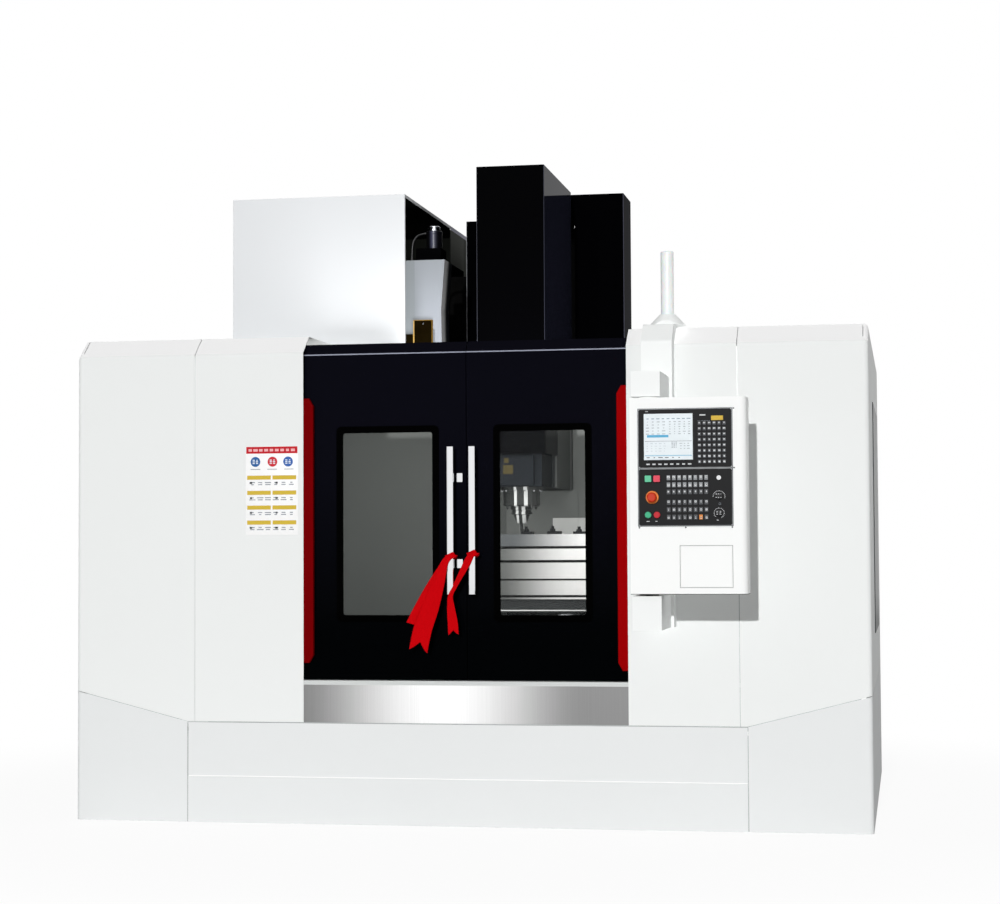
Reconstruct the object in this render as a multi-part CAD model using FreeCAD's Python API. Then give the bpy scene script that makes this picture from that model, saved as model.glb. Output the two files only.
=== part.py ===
import FreeCAD, Part
import math
import os
from FreeCAD import Vector

os.makedirs("parts", exist_ok=True)

# Vertical machining centre. Millimetres, +Z up, +X to the operator's right,
# +Y away from the operator. While the pieces are built, Y = 0 is the front
# face of the enclosure; save() moves everything so that the origin is the
# middle of the footprint.

# ---------------------------------------------------------------- enclosure
HALF_W = 1750.0        # centre to the outside of a side panel
DEPTH = 2572.0         # front face to the rear edge of the side panels
TOP = 2141.0           # roof surface
CREASE = 2063.0        # front face starts to lean back here
BEVEL_RUN = 95.0       # how far the leaning strip runs back
CORNER_R = 20.0        # bend at the outer corners
SHEET = 2.5            # enclosure sheet
FLOOR_GAP = 2.0        # covers end this far above the floor
SEAM_GAP = 3.0         # shadow gap between neighbouring panels
CORNER_STEPS = 3       # flats in a rounded corner of the smaller plates
FACE_GAP = 0.5         # between the faces of pieces that move past each other
FRONT_SEAM = 441.0     # top of the front base cover
SIDE_SEAM = 573.0      # top of the base covers along the sides
BASE_SEAM_X = 1231.0   # vertical seams of the base covers
PANEL_SEAM_X = 1200.0  # vertical seams of the upper front panels
FRONT_RETURN = 42.0    # the front panels run this far onto the roof
TOE_TOP = 204.0        # fold line of the front base cover
TOE_OUT = 4.0          # the toe below it stands this far proud
TUBE = 40.0            # square frame tube behind the seams
TUBE_D = 24.0          # its depth behind the front panels

ROOF_OPEN_Y = 545.0    # the roof is open above the doors from the front to here
ROOF_WELL = (-1090.0, 560.0, 450.0, 1480.0)   # opening in the roof: X from, X to, Y from, Y to

# ------------------------------------------------------------ door opening
OPEN_L = -703.0        # left jamb
OPEN_R = 727.0         # right jamb
MEET_X = 22.0          # the two doors meet here
MEET_GAP = 3.0
DOOR_Y = 30.0          # face of the doors
DOOR_T = 45.0          # depth of a door leaf
DOOR_Z0 = 628.0
DOOR_CREASE = 2053.0
DOOR_TOP = 2101.0
DOOR_BEVEL_RUN = 32.0
DOOR_LAP = 32.0        # the leaf hides this far behind its jamb
DOOR_SHEET = 2.0
PASS_GAP = 2.0         # between the door bezels and what they slide past
DOOR_TRAVEL = 590.0
GLASS_Z0 = 909.0       # visible pane
GLASS_Z1 = 1705.0
GLASS_T = 6.0
GLASS_LAP = 15.0       # pane behind the leaf's sheet
GLASS_R = 10.0
BEZEL_W = 29.0         # frame around the pane
BEZEL_T = 5.0
BEZEL_R = 20.0
LEFT_GLASS = (-530.0, -129.0)
RIGHT_GLASS = (171.0, 543.0)
HANDLE_R = 5.0         # its rounded edges
HANDLE_W = 29.0
HANDLE_D = 22.0
HANDLE_Y = -32.0       # front of the handle bar
HANDLE_Z0 = 1000.0
HANDLE_Z1 = 1638.0
HANDLE_FOOT = 20.0
HANDLE_INSET = 26.0    # foot centre from the end of the bar
LEFT_HANDLE_X = -39.5
RIGHT_HANDLE_X = 56.0
STRIKE_IN = 14.5       # strike blocks from the free edge of the left leaf
STRIKE_W = 26.0
STRIKE_H = 38.0
STRIKE_OUT = 10.0
STRIKE_Z = (1132.0, 1505.0)
SILL_TOP = 625.0
SILL_LIP = 19.0
RIBBON_T = 1.0
RIBBON_CLEAR = 0.4
RIBBON_Z = 1150.0      # lower edge of the knots
RIBBON_KNOT = 38.0
# hanging ends: half width, depth of the swallow-tail, then X and Z from the handle and the knot's lower edge
LEFT_TAILS = ((40.0, 42.0, ((-8.0, 20.0), (-48.0, -90.0), (-100.0, -235.0), (-141.0, -393.0))),
              (34.0, 14.0, ((-8.0, 15.0), (-60.0, -80.0), (-110.0, -180.0), (-159.0, -282.0))))
RIGHT_TAILS = ((22.0, 24.0, ((-6.0, 20.0), (-46.0, -60.0), (-86.0, -150.0), (-88.0, -200.0), (-81.0, -322.0))),)
SILL_PLATE_Y = 3.0
SILL_PLATE_T = 2.5
RAIL_Y = 90.0          # flat bar that the doors hang on
RAIL_T = 10.0
RAIL_H = 20.0
RAIL_Z = 2046.0
HEADER_Z0 = 2030.0     # tube behind the bar
HEADER_Z1 = 2092.0
HEADER_T = 4.0
SHOE_CLEAR = 0.6
SHOE_LIP = 9.0
SHOE_L = 60.0
SHOE_INSET = 90.0
TRIM_OUT = 44.0        # how far the red jamb trims reach into the opening
TRIM_CHAMFER = 20.0
TRIM_RISE = 35.0
LEFT_TRIM = (700.0, 1860.0)
RIGHT_TRIM = (672.0, 1893.0)

# ------------------------------------------------------------- side window
SIDE_WIN_Y = (900.0, DEPTH - 582.0)
SIDE_WIN_Z = (830.0, 1830.0)
SIDE_FRAME_W = 28.0
SIDE_PANE_T = 4.0

# ----------------------------------------------------- machine in the middle
AXIS_X = 120.0         # spindle, screws and column are centred here
SPINDLE_Y = 850.0
BED_TOP = 860.0
BED_HALF = 400.0
BED_FOOT_HALF = 560.0
BED_FRONT = 240.0
BED_REAR = DEPTH - 422.0
BED_BOTTOM = 60.0
BED_FLANGE = 120.0
BED_WALL = 90.0
BED_FLANK = 300.0      # upright flank starts here
BED_HOLLOW = 480.0     # top of the hollow under the bed
POCKET_EDGE = 160.0    # pockets cast into the flanks
POCKET_L = 300.0
POCKET_H = 100.0
POCKET_D = 25.0
POCKET_PITCH = 420.0
TROUGH_HALF = 130.0
TROUGH_Z = 740.0
FOOT_R = 60.0
FOOT_T = 22.0
FOOT_STEM_R = 16.0
FOOT_EDGE = 70.0
RAIL_W = 45.0          # linear guide rail
RAIL_HT = 38.0
Y_RAIL_X = 265.0       # rails sit this far each side of the centre
BLOCK_W = 100.0
BLOCK_L = 130.0
BLOCK_CLEAR = 0.4
BLOCK_TOP = 8.0        # block above its rail
SADDLE_HALF = 355.0
SADDLE_Y0 = 547.0
SADDLE_Y1 = 1105.0
SADDLE_T = 190.0
X_RAIL_Y = 190.0       # X rails each side of the table's centre line
X_BLOCK_PITCH = 250.0
TABLE_L = 1600.0
TABLE_W = 600.0
TABLE_Y0 = 527.0
TABLE_X0 = 62.0        # left end at rest
TABLE_TOP = 1260.0
TABLE_SLAB = 57.0
TABLE_BODY_IN = 30.0   # the table's foot is this much narrower each side
SLOT_W = 18.0
SLOT_FOOT_W = 30.0
SLOT_FOOT_H = 12.0
SLOT_DEPTH = 32.0
SLOT_PITCH = 110.0
SLOT_COUNT = 5
SLOT_END = 25.0        # rim left at the ends of the T-slots
CLAMPS = ((103.0, 52.0, 24.0), (223.0, 60.0, 26.0), (343.0, 66.0, 22.0))   # offset, width, height
CLAMP_STUD_R = 7.0
CLAMP_STUD_OUT = 12.3
CLAMP_NUT_R = 13.0
GUARD_HALF = 360.0
GUARD_Y = 517.0        # front of the upper guard plate
GUARD_STEP = 9.0
GUARD_T = 3.0
GUARD_BANDS = ((1143.0, 1200.0), (1058.0, 1131.0), (984.0, 1050.0))
GUARD_LEDGE = 965.0
SCREW_R = 20.0
SCREW_CLEAR = 0.5
MOTOR = 130.0          # servo motor flange
MOTOR_EDGE = 14.0

# --------------------------------------------------------- column and head
COLUMN_HALF = 350.0
COLUMN_Y0 = 1515.0
COLUMN_Y1 = BED_REAR
COLUMN_TOP = 2800.0
COLUMN_WALL = 30.0
COLUMN_FRONT = 130.0   # wall behind the Z rails
COLUMN_WINDOWS = (1100.0, 1650.0, 2200.0)   # lower edges of the rear windows
WINDOW_HALF = 170.0
WINDOW_H = 340.0
WINDOW_EDGE = 50.0
Z_RAIL_X = 118.0
Z_RAIL_Z0 = 1440.0
Z_RAIL_Z1 = 2690.0
CARRIAGE_HALF = 145.0
CARRIAGE_Y0 = 1436.0
CARRIAGE_T = 30.0
CARRIAGE_Z0 = 1480.0
CARRIAGE_Z1 = 2050.0
HEAD_HALF = 150.0      # headstock arm
HEAD_Y0 = 960.0
HEAD_Z0 = 1483.0
HEAD_Z1 = 1800.0
NOSE_HALF = 125.0      # dark cover around the spindle housing
NOSE_Y0 = 680.0
NOSE_TOP = 1632.0
NOSE_SHEET = 3.0
FACE_HALF = 90.0       # front plate of the spindle housing
FACE_T = 22.0
FACE_EDGE = 6.0
COVER_X0 = -42.0       # tall cover over the spindle motor
COVER_X1 = 276.0
COVER_Y0 = 600.0
COVER_Y1 = 1418.0
COVER_TOP = 2964.0
COVER_SHEET = 2.5
CARTRIDGE_R = 87.0
CARTRIDGE_Z0 = 1393.0
NOZZLE_AT = 58.0       # coolant nozzles at this X and Y from the spindle
NOZZLE_R = 6.0
NOZZLE_OUT = 14.0
COLLAR_R = 100.0
COLLAR_T = 15.0
CARTRIDGE_EDGE = 6.0
SHAFT_R = 45.0
SEAT_R = 80.0          # cartridge inside the headstock
SEAT_L = 199.0
SHAFT_CLEAR = 0.05
HOLDER_R = 50.0
HOLDER_TIP_R = 24.0
HOLDER_TIP_Z = 1314.0
TOOL_R = 10.0
TOOL_TIP_Z = 1268.0
FLUTE_R = 4.5
FLUTE_L = 30.0
SPINDLE_MOTOR_R = 120.0
SPINDLE_MOTOR_L = 480.0
APRON_HALF = 180.0
APRON_Y = 1430.0
APRON_Z0 = 880.0
WALL_Y = 1436.0        # rear wall of the work chamber
WALL_Z0 = 540.0
PAN_DROP = 95.0
PAN_T = 5.0
WALL_SLOT_HALF = 155.0
WALL_SLOT_Z0 = 1465.0
SHROUD_X0 = -270.0     # black sheet cover on the column
SHROUD_X1 = 281.0
SHROUD_Y0 = 1490.0
SHROUD_Y1 = 1700.0
CHAIN_TOP = 2964.0     # top of the chain cover beside it
SHROUD_STEP = 117.0    # how much lower the shroud ends
SHROUD_TOP = CHAIN_TOP - SHROUD_STEP
CHAIN_X0 = 284.0       # taller black box beside it
CHAIN_X1 = 530.0
CHAIN_LEDGE_X = 200.0  # above the shroud it reaches this far to the left
CHAIN_Y1 = 1776.0
CHAIN_NOTCH = 110.0
SEAT_Z = 2300.0        # lowest bracket between these covers and the column

# ------------------------------------------------------ automatic tool change
MAG_X0 = -1247.0       # white magazine cover
MAG_X1 = -405.0
MAG_Y0 = 700.0
MAG_Y1 = DEPTH - 406.0
MAG_TOP = 2866.0
MAG_SHEET = 2.5
MAG_LIP = 14.0
MAG_OPEN_Y1 = 1740.0
DISC_Y = 1070.0
DISC_Z = 2480.0
DISC_X = -680.0
DISC_T = 20.0
DISC_R = 300.0
POT_RING = 272.0
POT_R = 30.0
POT_L = 105.0
POT_BORE = 20.0
POT_COUNT = 24
DISC_BORE = 40.0
WINDOW_RING = 150.0    # six windows that lighten the disc
WINDOW_R = 48.0
BOSS_R = 60.0
CAM_X0 = -451.0
CAM_X1 = -257.0
CAM_WAIST = 18.0
CAM_Y0 = 900.0
CAM_Y1 = 1075.0
CAM_Z0 = 2050.0
CAM_Z1 = 2578.0
CAM_WAIST_Z = 2340.0
GEAR_H = 62.0          # gear housing on top of the cam box
CHANGER_MOTOR_X = -313.0
CHANGER_MOTOR_R = 34.0
CHANGER_MOTOR_L = 99.0
CABLE_R = 6.0
CABLE_ROUTE = ((0.0, -21.0), (-45.0, -21.0), (-74.0, -41.0), (-89.0, -81.0))   # from the motor's side and top: X, Z
CAP_R = 26.0           # silver cap on the motor
CAP_T = 22.0
BRACKET_X = (-408.0, -315.0)
BRACKET_Z = (2090.0, 2222.0, 2289.0)
BRACKET_T = 16.0
CARRIER_Z = (2200.0, 2600.0)
ARM_X = -310.0
ARM_Y = 935.0
ARM_R = 420.0          # arm centre to gripper centre
ARM_Z = 1985.0
ARM_T = 40.0
GRIP_R = 34.0
GRIP_WALL = 16.0
GRIP_MOUTH = 30.0      # half width of a gripper's mouth
ARM_HUB_R = 62.0
ARM_HALF = 38.0
ARM_SHAFT_R = 35.0

# ------------------------------------------------------------ pendant and arm
POST_X0 = 803.0
POST_X1 = 934.0
ARM_X1 = 922.0         # right side of the two arms
CHANNEL_Y = -95.0
ARM_FRONT_Y = -450.0
LOW_ARM = (862.0, 1001.0)
HIGH_ARM = (1811.0, 1915.0)
CHANNEL_LIFT = 8.0     # the channel's head stands this far above the roof
CHANNEL_BACK = 150.0
PEND_GAP = 7.0         # between an arm and the pendant
PEND_X0 = 800.0
PEND_X1 = 1271.0
PEND_Y0 = -470.0
PEND_D = 140.0
PEND_Z0 = LOW_ARM[1] + PEND_GAP
PEND_Z1 = HIGH_ARM[0] - PEND_GAP
PEND_SHEET = 2.5
PEND_EDGE_R = 24.0
SWIVEL_X = 867.0
SWIVEL_Y = -400.0
SWIVEL_R = 15.0
PANEL_X0 = 837.0
PANEL_X1 = 1212.0
SCREEN_Z = (1521.0, 1755.0)
KEYS_Z = (1287.0, 1513.0)
FRAME_EDGE = 5.0
SCREW_OUT = FRAME_EDGE + 4.0    # screws from the edge of the panels
PANEL_OUT = 6.0
PANEL_BACK = 60.0
DISPLAY_X = (859.0, 1055.0)
DISPLAY_Z = (1552.0, 1737.0)
KEY_OUT = 2.0
# groups of keys: X from and to, Z from and to, columns, rows, width and height of a key
MDI_KEYS = (1077.0, 1189.0, 1536.0, 1704.0, 6, 8, 13.0, 14.0)
SOFT_KEYS = (866.0, 1052.0, 1529.0, 1538.0, 8, 1, 16.0, 9.0)
MODE_KEYS = (950.0, 1116.0, 1412.0, 1488.0, 8, 3, 14.0, 19.0)
AXIS_KEYS = (950.0, 1116.0, 1310.0, 1389.0, 8, 3, 14.0, 19.0)
BUTTON_OUT = 12.0
BUTTON_PUSH = 4.0
BUTTON_CLEAR = 0.4
ESTOP_X = 891.0
ESTOP_Z = 1400.0
ESTOP_R = 20.0
ESTOP_RING_R = 26.0
ESTOP_RING_T = 10.0
ESTOP_OUT = 36.0
ESTOP_PUSH = 6.0
ESTOP_STEM_R = 9.0
SQUARE_X = (875.0, 910.0)
SQUARE_Z = 1475.0
SQUARE = 26.0
ROUND_X = (874.0, 910.0)
ROUND_Z = 1329.0
ROUND_R = 13.0
BUTTON_EDGE = 1.5
SQUARE_CORNER = 3.0
STEM_IN = 4.0          # a stem is this much smaller than its cap all round
STEM_L = 12.0          # and reaches this deep behind the face
DIAL_X = 1160.0
DIAL_Z = (1402.0, 1335.0)
DIAL_R = 12.0
DIAL_OUT = 20.0
DIAL_BLADE = 3.5       # half thickness of the grip
DIAL_SKIRT = 7.5
DIAL_STEM_R = 4.0
LOCK_Z = 1477.0
LOCK_R = 9.0
LOCK_T = 5.0
KEY_BLADE = (1.2, 24.0, 6.0)   # half thickness, reach, half height
FLAP_X = (1001.0, 1212.0)
FLAP_Z = (1036.0, 1204.0)
FLAP_GAP = 0.8
TOWER_X = 902.0
TOWER_Y = 50.0
TOWER_R = 28.0
TOWER_TOP = 2467.0
TOWER_BASE_R = 78.0
TOWER_BASE_H = 46.0

# -------------------------------------------------------- electrical cabinet
CAB_X1 = -1060.0
CAB_DEPTH = 350.0
CAB_Y1 = DEPTH - 32.0
CAB_Y0 = CAB_Y1 - CAB_DEPTH
CAB_Z0 = 640.0
CAB_Z1 = 2040.0
CAB_SHEET = 2.0
CAB_DOOR_T = 15.0
CAB_MARGIN = 22.0
SWITCH_Z = 1500.0
SWITCH_R = 8.0
SWITCH_GRIP = (9.0, 15.0, 28.0)      # grip of the main switch: half width, depth, half height
SWITCH_IN = 90.0       # switch from the free edge of the door
DOOR_FOLD = 2.0        # sheet of the cabinet's door
CAB_LIP = 10.0         # rim behind the door's edge
BACK_PLATE_IN = 40.0
BACK_PLATE_T = 3.0
DRIVE_IN = 80.0        # first drive module from the side panel
DRIVE_PITCH = 195.0
DRIVE_W = 160.0
DRIVE_ROWS = ((1560.0, 260.0, 165.0), (1180.0, 220.0, 135.0), (820.0, 180.0, 105.0))   # Z, height, depth

# The footprint runs from the emergency stop to the rear edge of the sides.
FOREMOST = PEND_Y0 - PANEL_OUT - ESTOP_OUT
SHIFT = Vector(0, -(FOREMOST + DEPTH) / 2, 0)


def box(x0, x1, y0, y1, z0, z1):
    return Part.makeBox(x1 - x0, y1 - y0, z1 - z0, Vector(x0, y0, z0))


def cyl(x, y, z, r, h, axis=(0, 0, 1)):
    return Part.makeCylinder(r, h, Vector(x, y, z), Vector(*axis))


def turned(sides, rings, base, axis=(0, 0, 1)):
    # turned piece drawn with flat sides; rings are (radius, distance along the axis)
    along = Vector(*axis)
    first = Vector(1, 0, 0) if abs(along.z) > 0.5 else Vector(0, 0, 1)
    second = along.cross(first)
    outlines = []
    for r, reach in rings:
        outline = []
        for i in range(sides + 1):
            a = 2 * math.pi * (i % sides) / sides
            outline.append(Vector(*base) + along * reach + first * (r * math.cos(a)) + second * (r * math.sin(a)))
        outlines.append(outline)
    faces = [Part.Face(Part.makePolygon(outlines[0])), Part.Face(Part.makePolygon(outlines[-1]))]
    for low, high in zip(outlines, outlines[1:]):
        for i in range(sides):
            faces.append(Part.Face(Part.makePolygon([low[i], low[i + 1], high[i + 1], high[i], low[i]])))
    solid = Part.makeSolid(Part.makeShell(faces))
    if solid.Volume < 0:
        solid.reverse()
    return solid


def prism_x(points, x0, x1):
    # polygon of (y, z) points, pulled along X
    wire = Part.makePolygon([Vector(x0, y, z) for y, z in points + points[:1]])
    return Part.Face(wire).extrude(Vector(x1 - x0, 0, 0))


def prism_y(points, y0, y1):
    # polygon of (x, z) points, pulled along Y
    wire = Part.makePolygon([Vector(x, y0, z) for x, z in points + points[:1]])
    return Part.Face(wire).extrude(Vector(0, y1 - y0, 0))


def prism_z(points, z0, z1):
    # polygon of (x, y) points, pulled along Z
    wire = Part.makePolygon([Vector(x, y, z0) for x, y in points + points[:1]])
    return Part.Face(wire).extrude(Vector(0, 0, z1 - z0))


def rounded(x0, x1, y0, y1, r):
    # outline of a rectangle whose corners are rounded in CORNER_STEPS short flats
    outline = []
    for x, y, start in ((x1 - r, y1 - r, 0), (x0 + r, y1 - r, 90), (x0 + r, y0 + r, 180), (x1 - r, y0 + r, 270)):
        for i in range(CORNER_STEPS + 1):
            a = math.radians(start + 90 * i / CORNER_STEPS)
            outline.append((x + r * math.cos(a), y + r * math.sin(a)))
    return outline


def plate_y(x0, x1, z0, z1, y0, y1, r):
    # upright plate facing the operator, corners rounded with radius r
    return prism_y(rounded(x0, x1, z0, z1, r), y0, y1)


def save(name, solids):
    if not isinstance(solids, (list, tuple)):
        solids = [solids]
    kept = []
    for shape in solids:
        for solid in shape.Solids:
            clean = solid.removeSplitter()
            clean.translate(SHIFT)
            kept += clean.Solids
    shape = kept[0] if len(kept) == 1 else Part.makeCompound(kept)
    shape.exportStep("parts/" + name + ".step")


# ------------------------------------------------------- enclosure sheet skin
def lean(front, crease, run, top, t):
    # front line, crease and top of a leaning profile, moved inwards by t
    length = math.hypot(run, top - crease)
    ny = (top - crease) / length
    nz = -run / length
    slope = (top - crease) / run
    py = front + ny * t
    pz = crease + nz * t
    y_in = front + t
    z_in = pz + (y_in - py) * slope
    y_top = py + (top - t - pz) / slope
    return y_in, z_in, y_top


def cabinet_block(t, z0, y1):
    # full enclosure outline shrunk by t, with bent outer corners
    y_in, z_in, y_top = lean(0.0, CREASE, BEVEL_RUN, TOP, t)
    outline = [(y_in, z0), (y_in, z_in), (y_top, TOP - t), (y1, TOP - t), (y1, z0)]
    block = prism_x(outline, -HALF_W + t, HALF_W - t)
    edges = []
    for e in block.Edges:
        b = e.BoundBox
        at_end = b.XLength < 0.01
        if at_end and b.YMin < y1 - 1 and b.ZMax > z0 + 1:
            edges.append(e)
    return block.makeFillet(CORNER_R - t, edges)


room = cabinet_block(SHEET, FLOOR_GAP - 50, DEPTH + 50)
skin = cabinet_block(0.0, FLOOR_GAP, DEPTH).cut(room)
wide = HALF_W + 50
half_gap = SEAM_GAP / 2


def seam_tool(shift, z_far):
    # everything above or below the seam between base covers and upper panels
    points = [(-wide, SIDE_SEAM + shift), (-HALF_W, SIDE_SEAM + shift), (-BASE_SEAM_X, FRONT_SEAM + shift),
              (BASE_SEAM_X, FRONT_SEAM + shift), (HALF_W, SIDE_SEAM + shift), (wide, SIDE_SEAM + shift),
              (wide, z_far), (-wide, z_far)]
    return prism_y(points, -100, DEPTH + 100)


lower = skin.common(seam_tool(-half_gap, -50))
upper = skin.common(seam_tool(half_gap, TOP + 50))

# Front base cover with its toe fold.
front_base = lower.common(box(-BASE_SEAM_X + half_gap, BASE_SEAM_X - half_gap, -50, 300, -50, TOP))
front_base = front_base.cut(box(-wide, wide, -50, 300, -50, TOE_TOP - TOE_OUT))
toe = [(-TOE_OUT, FLOOR_GAP), (-TOE_OUT, TOE_TOP - TOE_OUT), (0, TOE_TOP),
       (SHEET, TOE_TOP), (SHEET - TOE_OUT, TOE_TOP - TOE_OUT), (SHEET - TOE_OUT, FLOOR_GAP)]
toe = prism_x(toe, -BASE_SEAM_X + half_gap, BASE_SEAM_X - half_gap)
front_base = front_base.cut(toe).fuse(toe)

# Base corner covers: front corner piece and the run along each side.
left_base = lower.common(box(-wide, -BASE_SEAM_X - half_gap, -50, DEPTH + 50, -50, TOP))
right_base = lower.common(box(BASE_SEAM_X + half_gap, wide, -50, DEPTH + 50, -50, TOP))
save("base_covers", [front_base, left_base, right_base])

# Upper front panels and side panels.
side_cut = CORNER_R + half_gap
front_end = BEVEL_RUN + FRONT_RETURN
inner_x = HALF_W - CORNER_R - 2


def front_panel(x0, x1):
    piece = upper.common(box(x0, x1, -50, front_end, -50, TOP + 50))
    for sign in (-1, 1):
        edge = sorted((sign * (inner_x - half_gap), sign * wide))
        piece = piece.cut(box(edge[0], edge[1], side_cut, DEPTH, -50, TOP + 50))
    return piece


front_panels = [front_panel(-wide, -PANEL_SEAM_X - half_gap), front_panel(-PANEL_SEAM_X + half_gap, OPEN_L),
                front_panel(OPEN_R, PANEL_SEAM_X - half_gap), front_panel(PANEL_SEAM_X + half_gap, wide)]

window_hole = box(-wide, wide, SIDE_WIN_Y[0], SIDE_WIN_Y[1], SIDE_WIN_Z[0], SIDE_WIN_Z[1])
side_panels = []
panes = []
for sign in (-1, 1):
    x0, x1 = sorted((sign * (inner_x + half_gap), sign * wide))
    panel = upper.common(box(x0, x1, side_cut + SEAM_GAP, DEPTH, -50, TOP + 50))
    side_panels.append(panel.cut(window_hole))
    out0, out1 = sorted((sign * HALF_W, sign * (HALF_W + SIDE_PANE_T)))
    panes.append(box(out0, out1, SIDE_WIN_Y[0] - SIDE_FRAME_W, SIDE_WIN_Y[1] + SIDE_FRAME_W,
                     SIDE_WIN_Z[0] - SIDE_FRAME_W, SIDE_WIN_Z[1] + SIDE_FRAME_W))
save("side_panels", side_panels)
# Tinted panes bonded on the outside of the side openings.
save("side_windows", panes)

# Roof sheets around the openings for the head and for the tool magazine.
roof_z = TOP - SHEET
roof_x = inner_x - half_gap
roof_y0 = front_end + half_gap
roof = [box(-roof_x, ROOF_WELL[0], roof_y0, DEPTH, roof_z, TOP),
        box(ROOF_WELL[1], roof_x, roof_y0, DEPTH, roof_z, TOP),
        box(ROOF_WELL[0], ROOF_WELL[1], roof_y0, ROOF_WELL[2], roof_z, TOP),
        box(ROOF_WELL[0], MAG_X1 - 15, ROOF_WELL[2], MAG_Y0 + 15, roof_z, TOP),
        box(ROOF_WELL[0], SHROUD_X0 - 6, ROOF_WELL[3], DEPTH, roof_z, TOP)]
# Over the doors the roof is open at the front.
over_doors = box(OPEN_L, OPEN_R, -50, ROOF_OPEN_Y, roof_z - 5, TOP + 5)
save("roof_panels", [sheet.cut(over_doors) for sheet in roof])

# End walls of the front panels beside the doors, cut around the sliding leaves.
pass_y = DOOR_Y - BEZEL_T - PASS_GAP
y_in, z_in, y_top = lean(pass_y, DOOR_CREASE + 4, DOOR_BEVEL_RUN, DOOR_TOP + 5, 0)
front_in, crease_in, top_in = lean(0, CREASE, BEVEL_RUN, TOP, SHEET)
header_y = RAIL_Y + RAIL_T
jamb = [(SHEET / 2, SILL_TOP), (front_in, crease_in), (top_in, TOP - SHEET), (header_y, TOP - SHEET),
        (header_y, DOOR_TOP + 5), (y_top, DOOR_TOP + 5), (y_in, z_in), (y_in, SILL_TOP)]
jamb_walls = [prism_x(jamb, OPEN_L - SHEET, OPEN_L), prism_x(jamb, OPEN_R, OPEN_R + SHEET)]
front_panels[1] = front_panels[1].fuse(jamb_walls[0])
front_panels[2] = front_panels[2].fuse(jamb_walls[1])
save("front_panels", front_panels)


# Red trims on the jambs: one chamfered strip each, front edge rounded.
def trim(x_wall, reach, z0, z1):
    tip = x_wall + reach
    mid = tip - math.copysign(TRIM_CHAMFER, reach)
    outline = [(x_wall, z0), (mid, z0), (tip, z0 + TRIM_RISE), (tip, z1 - TRIM_RISE), (mid, z1), (x_wall, z1)]
    body = prism_y(outline, SHEET + 1, pass_y)
    front = [e for e in body.Edges if abs(e.BoundBox.YMax - SHEET - 1) < 0.01
             and abs(e.BoundBox.XMin - x_wall) + abs(e.BoundBox.XMax - x_wall) > 0.1]
    return body.makeFillet(5.0, front)


save("jamb_trims", [trim(OPEN_L, TRIM_OUT, *LEFT_TRIM), trim(OPEN_R, -TRIM_OUT, *RIGHT_TRIM)])

# Stainless sill plate under the doors and the bent sill rail they close on.
sill_end = FRONT_SEAM + half_gap
save("sill_plate", box(OPEN_L, OPEN_R, SILL_PLATE_Y, SILL_PLATE_Y + SILL_PLATE_T, sill_end, SILL_TOP - SILL_LIP))
leaf_l0 = OPEN_L - DOOR_LAP
leaf_l1 = MEET_X - MEET_GAP / 2
leaf_r0 = MEET_X + MEET_GAP / 2
leaf_r1 = OPEN_R + DOOR_LAP
rail_x0 = leaf_l0 - DOOR_TRAVEL - 10
rail_x1 = leaf_r1 + DOOR_TRAVEL + 10
sill_back = DOOR_Y + DOOR_T + 9
sill = [(SILL_PLATE_Y, SILL_TOP - SILL_LIP), (SILL_PLATE_Y, SILL_TOP), (sill_back, SILL_TOP),
        (sill_back, WALL_Z0), (sill_back - SHEET, WALL_Z0), (sill_back - SHEET, SILL_TOP - SHEET),
        (SILL_PLATE_Y + SHEET, SILL_TOP - SHEET), (SILL_PLATE_Y + SHEET, SILL_TOP - SILL_LIP)]
door_sill = prism_x(sill, rail_x0, rail_x1)

# Header tube behind the doors with the flat bar they hang on.
inside = HALF_W - SHEET
header = box(-inside, inside, header_y, header_y + TUBE, HEADER_Z0, HEADER_Z1)
header = header.cut(box(-wide, wide, header_y + HEADER_T, header_y + TUBE - HEADER_T, HEADER_Z0 + HEADER_T,
                        HEADER_Z1 - HEADER_T))
door_bar = box(rail_x0, rail_x1, RAIL_Y, header_y, RAIL_Z, RAIL_Z + RAIL_H)

# Frame tubes behind the seams; every panel is screwed to them.
tubes = []
for sign in (-1, 1):
    c = sign * PANEL_SEAM_X
    tubes.append(box(c - TUBE / 2, c + TUBE / 2, SHEET, SHEET + TUBE_D, FRONT_SEAM + TUBE / 2, SILL_TOP - SILL_LIP))
    tubes.append(box(c - TUBE / 2, c + TUBE / 2, SHEET, SHEET + TUBE_D, SILL_TOP, CREASE - 12))
    x0, x1 = sorted((sign * inside, sign * (inside - TUBE_D)))
    tubes.append(box(x0, x1, CORNER_R, DEPTH - 40, SIDE_SEAM - TUBE / 2, SIDE_SEAM + TUBE / 2))
    slope = (SIDE_SEAM - FRONT_SEAM) / (HALF_W - BASE_SEAM_X)
    xs = sign * BASE_SEAM_X
    xe = sign * (inside - TUBE_D - CORNER_R)
    ze = FRONT_SEAM + (abs(xe) - BASE_SEAM_X) * slope
    diagonal = [(xs, FRONT_SEAM - TUBE / 2), (xe, ze - TUBE / 2), (xe, ze + TUBE / 2), (xs, FRONT_SEAM + TUBE / 2)]
    tubes.append(prism_y(diagonal, SHEET, SHEET + TUBE_D))
    tubes.append(box(xs - TUBE / 2, xs + TUBE / 2, SHEET, SHEET + TUBE_D, FLOOR_GAP, FRONT_SEAM - TUBE))
low_tube = box(-BASE_SEAM_X, BASE_SEAM_X, SHEET, SHEET + TUBE_D, FRONT_SEAM - TUBE / 2, FRONT_SEAM + TUBE / 2)
step = box(OPEN_L - 1, OPEN_R + 1, SHEET - 1, SILL_PLATE_Y + SILL_PLATE_T, sill_end - 2, FRONT_SEAM + TUBE)
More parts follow.
